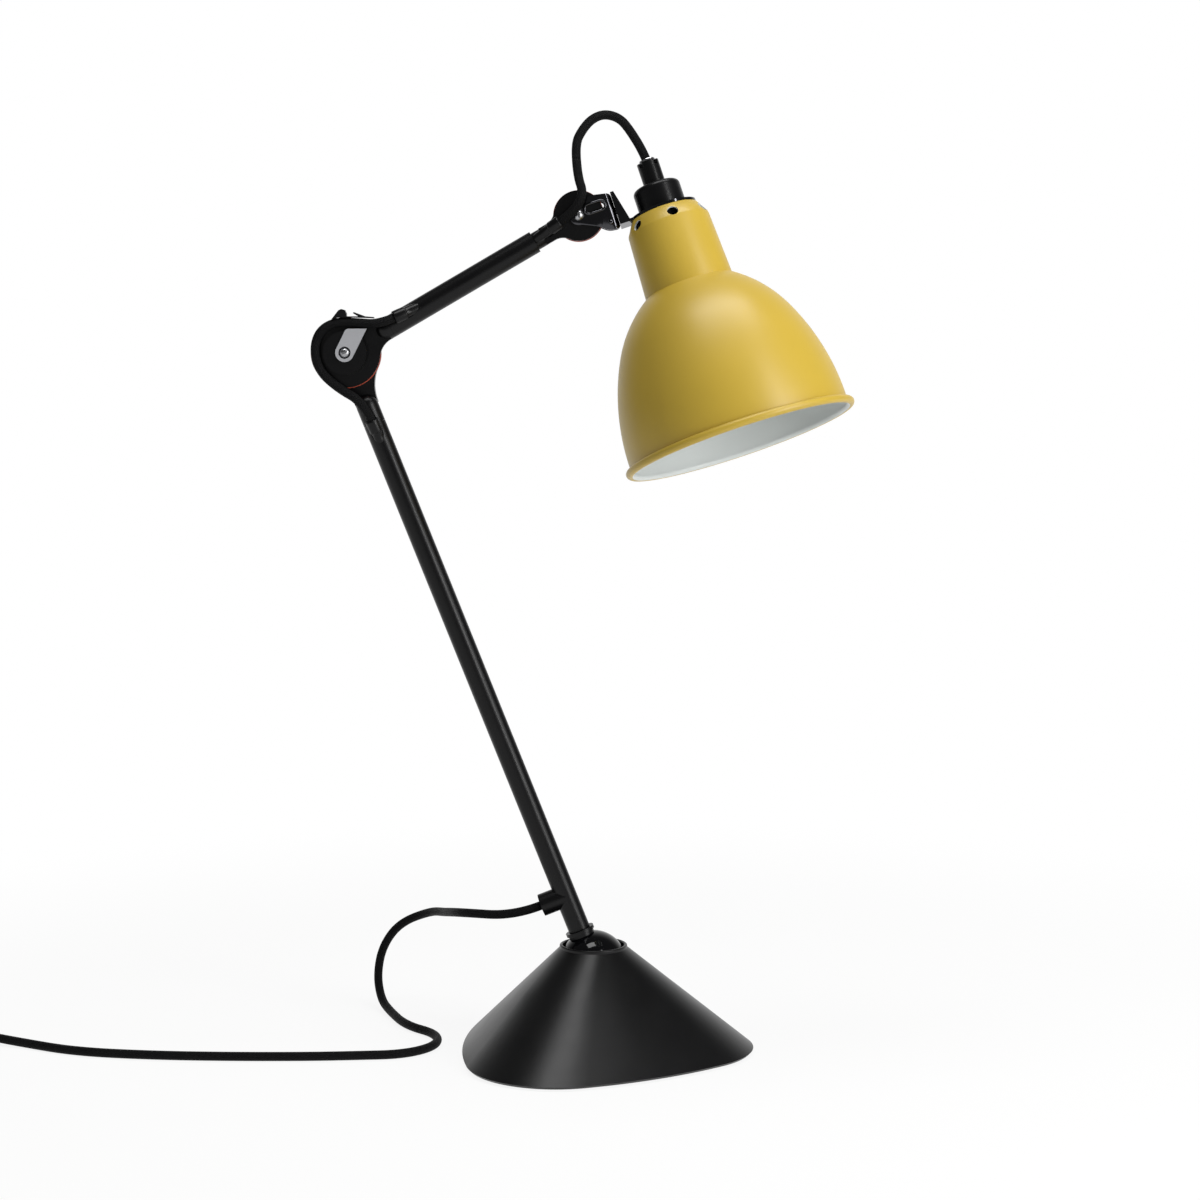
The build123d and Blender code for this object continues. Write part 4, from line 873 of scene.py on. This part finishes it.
def make_bushes():
    """The bushes where the cables leave the arms, and the bright insert in the cord grip."""
    mouths = [
        ("lower_ferrule", in_lower(LOWER_MOUTH), in_lower(LOWER_MOUTH_FROM), "lower_arm"),
        ("upper_ferrule", in_upper(UPPER_MOUTH), in_upper(UPPER_MOUTH_FROM), "upper_arm"),
        ("head_ferrule", in_upper(HEAD_MOUTH), in_upper(HEAD_MOUTH_FROM), "upper_arm"),
    ]
    for node, mouth, source, body in mouths:
        profile = [(0, -0.020), (0.0028, -0.020), (0.00305, -0.0165), (0.0034, -0.011), (0.0034, -0.008)]
        profile += arc((0.0031, -0.0070), 0.0009, -60, 0, 5)
        profile += arc((0.0031, -0.0009), 0.0009, 0, 90, 6)
        profile += [(BUSH_BORE + 0.0001, 0), (BUSH_BORE, -0.0002), (BUSH_BORE, -0.006), (0, -0.006)]
        bush = spun(node + "_turned", profile, 40)
        out = (mouth - source).normalized()
        place = frame_at(out.orthogonal().normalized(), out, mouth)
        settle(bush, place, body, node, "arm")
    ring = [(0.0028, 0.0175), (0.00495, 0.0175), (0.00495, 0.0314), (0.0046, 0.0322)]
    ring += [(0.0036, 0.0323), (0.0028, 0.0317)]
    insert = spun("grip_insert_turned", ring, 48, closed=True)
    settle(insert, IN_SHADE, "shade", "grip_insert", "chrome")


# Stage

CAMERA_AT = (0.0039, -1.5, 0.405)
CAMERA_DOWN = 5.2  # degrees below level
CAMERA_LENS = 77.2  # mm, with a sensor 36 mm wide
ROOM_LIGHT = 0.2  # the surround's strength as light, where a strength of 1 is white
ROOM_GLOSS = 0.12  # its strength in gloss, away from the white backdrop behind the lamp
# Each light's name, place, aim, width and height in metres, and watts
LIGHTS = [
    ("key_right", (1.2, -0.85, 0.6), (0.02, 0, 0.3), (0.7, 0.9), 11),
    ("above", (0.08, -0.2, 1.75), (0, 0, 0.1), (1.3, 0.5), 16),
    ("strip_right", (0.72, -0.68, 0.75), (-0.05, 0, 0.4), (0.07, 1.0), 4),
]


def make_camera():
    """The camera at the photograph's place: level with the elbow, looking a little down."""
    data = bpy.data.cameras.new("view")
    data.sensor_width = 36
    data.lens = CAMERA_LENS
    data.clip_start, data.clip_end = 0.05, 50
    camera = bpy.data.objects.new("view", data)
    camera.location = CAMERA_AT
    camera.rotation_euler = (math.radians(90 - CAMERA_DOWN), 0, 0)
    bpy.context.scene.collection.objects.link(camera)
    bpy.context.scene.camera = camera


def softbox(name, place, aim, size, watts):
    """A soft area light at a place, aimed at a point."""
    data = bpy.data.lights.new(name, "AREA")
    data.shape = "RECTANGLE"
    data.size, data.size_y = size
    data.energy = watts
    light = bpy.data.objects.new(name, data)
    light.location = place
    light.rotation_euler = (Vector(aim) - Vector(place)).to_track_quat("-Z", "Y").to_euler()
    bpy.context.scene.collection.objects.link(light)


def make_floor():
    """A plain pale floor that fades to the white backdrop and keeps the lamp's shadow."""
    bpy.ops.object.select_all(action="DESELECT")
    bpy.ops.mesh.primitive_plane_add(size=8, location=(0, 0, -0.0002))
    floor = bpy.context.object
    floor.name = "studio_floor"
    paper = linear("#f4f4f3")
    material, tree, shader = surface("studio_paper_white", paper, Roughness=0.9, Specular_IOR_Level=0.1)
    glow = add(tree, "ShaderNodeEmission", {"Color": (1, 1, 1, 1), "Strength": 1.0})
    path = add(tree, "ShaderNodeLightPath").outputs
    both = {0: path["Is Camera Ray"], 1: path["Is Glossy Ray"]}
    both = add(tree, "ShaderNodeMath", both, operation="MAXIMUM").outputs[0]
    seen = {0: both, 1: path["Is Transmission Ray"]}
    seen = add(tree, "ShaderNodeMath", seen, operation="MAXIMUM").outputs[0]
    place = add(tree, "ShaderNodeTexCoord")
    reach = add(tree, "ShaderNodeVectorMath", {0: place.outputs["Object"]}, operation="LENGTH")
    fade = {"Value": reach.outputs["Value"], "From Min": 0.3, "From Max": 0.8, "To Min": 0.88, "To Max": 1.0}
    fade = add(tree, "ShaderNodeMapRange", fade, interpolation_type="SMOOTHSTEP").outputs["Result"]
    share = add(tree, "ShaderNodeMath", {0: seen, 1: fade}, operation="MULTIPLY")
    mixed = {0: share.outputs[0], 1: shader.outputs[0], 2: glow.outputs[0]}
    add(tree, "ShaderNodeMixShader", mixed, {0: tree.nodes["Material Output"].inputs["Surface"]})
    floor.data.materials.append(material)


def make_surround():
    """A surround that is white to the eye, white in gloss behind the lamp, and faint as light."""
    world = bpy.data.worlds.new("studio_surround")
    bpy.context.scene.world = world
    world.use_nodes = True
    tree = world.node_tree
    tree.nodes.clear()
    way = add(tree, "ShaderNodeSeparateXYZ", {0: add(tree, "ShaderNodeTexCoord").outputs["Generated"]})
    fade = {"Value": way.outputs["Y"], "From Min": 0.4, "From Max": 1.0, "To Min": ROOM_GLOSS}
    behind = add(tree, "ShaderNodeMapRange", fade, interpolation_type="SMOOTHSTEP").outputs["Result"]
    path = add(tree, "ShaderNodeLightPath").outputs
    seen = {0: path["Is Camera Ray"], 1: path["Is Transmission Ray"]}
    seen = add(tree, "ShaderNodeMath", seen, operation="MAXIMUM").outputs[0]
    plain = add(tree, "ShaderNodeMath", {0: seen, 1: ROOM_LIGHT}, operation="MAXIMUM").outputs[0]
    mixed = {"Value": path["Is Glossy Ray"], "To Min": plain, "To Max": behind}
    strength = add(tree, "ShaderNodeMapRange", mixed).outputs["Result"]
    around = add(tree, "ShaderNodeBackground", {"Color": (1, 1, 1, 1), "Strength": strength})
    add(tree, "ShaderNodeOutputWorld", {"Surface": around.outputs[0]})


def make_stage():
    """The floor, the surround and soft studio light."""
    make_floor()
    make_surround()
    for light in LIGHTS:
        softbox(*light)
    bpy.context.scene.view_settings.view_transform = "Standard"


# Add-on


def colour(name, description, code):
    """A colour property with an sRGB hex default."""
    return FloatVectorProperty(
        name=name, description=description, default=linear(code), subtype="COLOR", size=3, min=0, max=1
    )


def length(name, description, metres):
    """A length property, in metres."""
    return FloatProperty(name=name, description=description, default=metres, unit="LENGTH", precision=5)


class LampFinishes(PropertyGroup):
    """The lamp's colours"""

    base: colour("Base coat", "Matt coat of the base", "#09090a")
    arm: colour("Arm coat", "Satin coat of the arms, joints and lampholder cap", "#0a0a0b")
    ball: colour("Ball", "Glossy coat of the ball", "#08080a")
    shade: colour("Shade", "Enamel outside the shade", "#b99c36")
    shade_inside: colour("Shade inside", "Enamel inside the shade", "#d0d4d2")
    chrome: colour("Chrome", "Plated plug pins", "#c4c4c6")
    dark_nickel: colour("Black nickel", "Plated stirrup and bracket", "#48484b")
    plate: colour("Tension plate", "Plate under the elbow's screw", "#dcdde1")
    zinc: colour("Screws", "Plated screws and nuts", "#a5a6a8")
    washer: colour("Washers", "Fibre washers in the joints", "#b2503c")
    plastic: colour("Plastic", "Moulded black pieces", "#0f0f11")
    cord: colour("Cord", "Braided sleeve of the cord", "#0b0b0c")


class LampSizes(PropertyGroup):
    """Sizes of the cord"""

    cord_radius: length("Cord radius", "Radius of the braided cord", 0.00265)
    braid_pitch: length("Braid pitch", "Width of one braid thread", 0.0011)


class LAMP_OT_camera(Operator):
    """Place the camera"""

    bl_idname = "lamp.camera"
    bl_label = "Camera"

    def execute(self, context):
        make_camera()
        return {"FINISHED"}


class LAMP_OT_finishes(Operator):
    """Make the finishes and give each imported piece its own"""

    bl_idname = "lamp.finishes"
    bl_label = "Finishes"

    def execute(self, context):
        make_finishes()
        for finish, names in NODE_FINISH.items():
            for name in names:
                give(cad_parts[name], finish)
        return {"FINISHED"}


class LAMP_OT_mains_lead(Operator):
    """Make the mains lead with its coil"""

    bl_idname = "lamp.mains_lead"
    bl_label = "Mains lead"

    def execute(self, context):
        make_mains_lead()
        return {"FINISHED"}


class LAMP_OT_held_cables(Operator):
    """Make the cables at the elbow and the head"""

    bl_idname = "lamp.held_cables"
    bl_label = "Elbow and head cables"

    def execute(self, context):
        make_held_cables()
        return {"FINISHED"}


class LAMP_OT_shade(Operator):
    """Make the shade"""

    bl_idname = "lamp.shade"
    bl_label = "Shade"

    def execute(self, context):
        make_shade()
        return {"FINISHED"}


class LAMP_OT_bulb(Operator):
    """Make the bulb"""

    bl_idname = "lamp.bulb"
    bl_label = "Bulb"

    def execute(self, context):
        make_bulb()
        return {"FINISHED"}


class LAMP_OT_stirrup(Operator):
    """Make the stirrup"""

    bl_idname = "lamp.stirrup"
    bl_label = "Stirrup"

    def execute(self, context):
        make_stirrup()
        return {"FINISHED"}


class LAMP_OT_bushes(Operator):
    """Make the bushes that the cables leave through"""

    bl_idname = "lamp.bushes"
    bl_label = "Bushes"

    def execute(self, context):
        make_bushes()
        return {"FINISHED"}


class LAMP_OT_fasteners(Operator):
    """Make the screws and nuts"""

    bl_idname = "lamp.fasteners"
    bl_label = "Screws and nuts"

    def execute(self, context):
        make_fasteners()
        return {"FINISHED"}


class LAMP_OT_stage(Operator):
    """Make the floor, the surround and the lights"""

    bl_idname = "lamp.stage"
    bl_label = "Studio"

    def execute(self, context):
        make_stage()
        return {"FINISHED"}


STEPS = [
    LAMP_OT_camera,
    LAMP_OT_finishes,
    LAMP_OT_mains_lead,
    LAMP_OT_held_cables,
    LAMP_OT_shade,
    LAMP_OT_bulb,
    LAMP_OT_stirrup,
    LAMP_OT_bushes,
    LAMP_OT_fasteners,
    LAMP_OT_stage,
]


class LAMP_PT_panel(Panel):
    """Lists the steps that dress the lamp"""

    bl_label = "Desk lamp"
    bl_idname = "LAMP_PT_panel"
    bl_space_type = "VIEW_3D"
    bl_region_type = "UI"
    bl_category = "Desk lamp"

    def draw(self, context):
        for step in STEPS:
            self.layout.operator(step.bl_idname)
        for group in (context.scene.lamp_finishes, context.scene.lamp_sizes):
            for name in group.__annotations__:
                self.layout.prop(group, name)


CLASSES = [LampFinishes, LampSizes, *STEPS, LAMP_PT_panel]


def register():
    """Registers the classes and hangs the two property groups on the scene."""
    for made in CLASSES:
        bpy.utils.register_class(made)
    bpy.types.Scene.lamp_finishes = PointerProperty(type=LampFinishes)
    bpy.types.Scene.lamp_sizes = PointerProperty(type=LampSizes)


def unregister():
    """Takes the classes and property groups away again."""
    del bpy.types.Scene.lamp_finishes
    del bpy.types.Scene.lamp_sizes
    for made in reversed(CLASSES):
        bpy.utils.unregister_class(made)


def main():
    """Dresses the lamp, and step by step."""
    register()
    for step in STEPS:
        group, name = step.bl_idname.split(".")
        getattr(getattr(bpy.ops, group), name)()


if __name__ == "__main__":
    main()
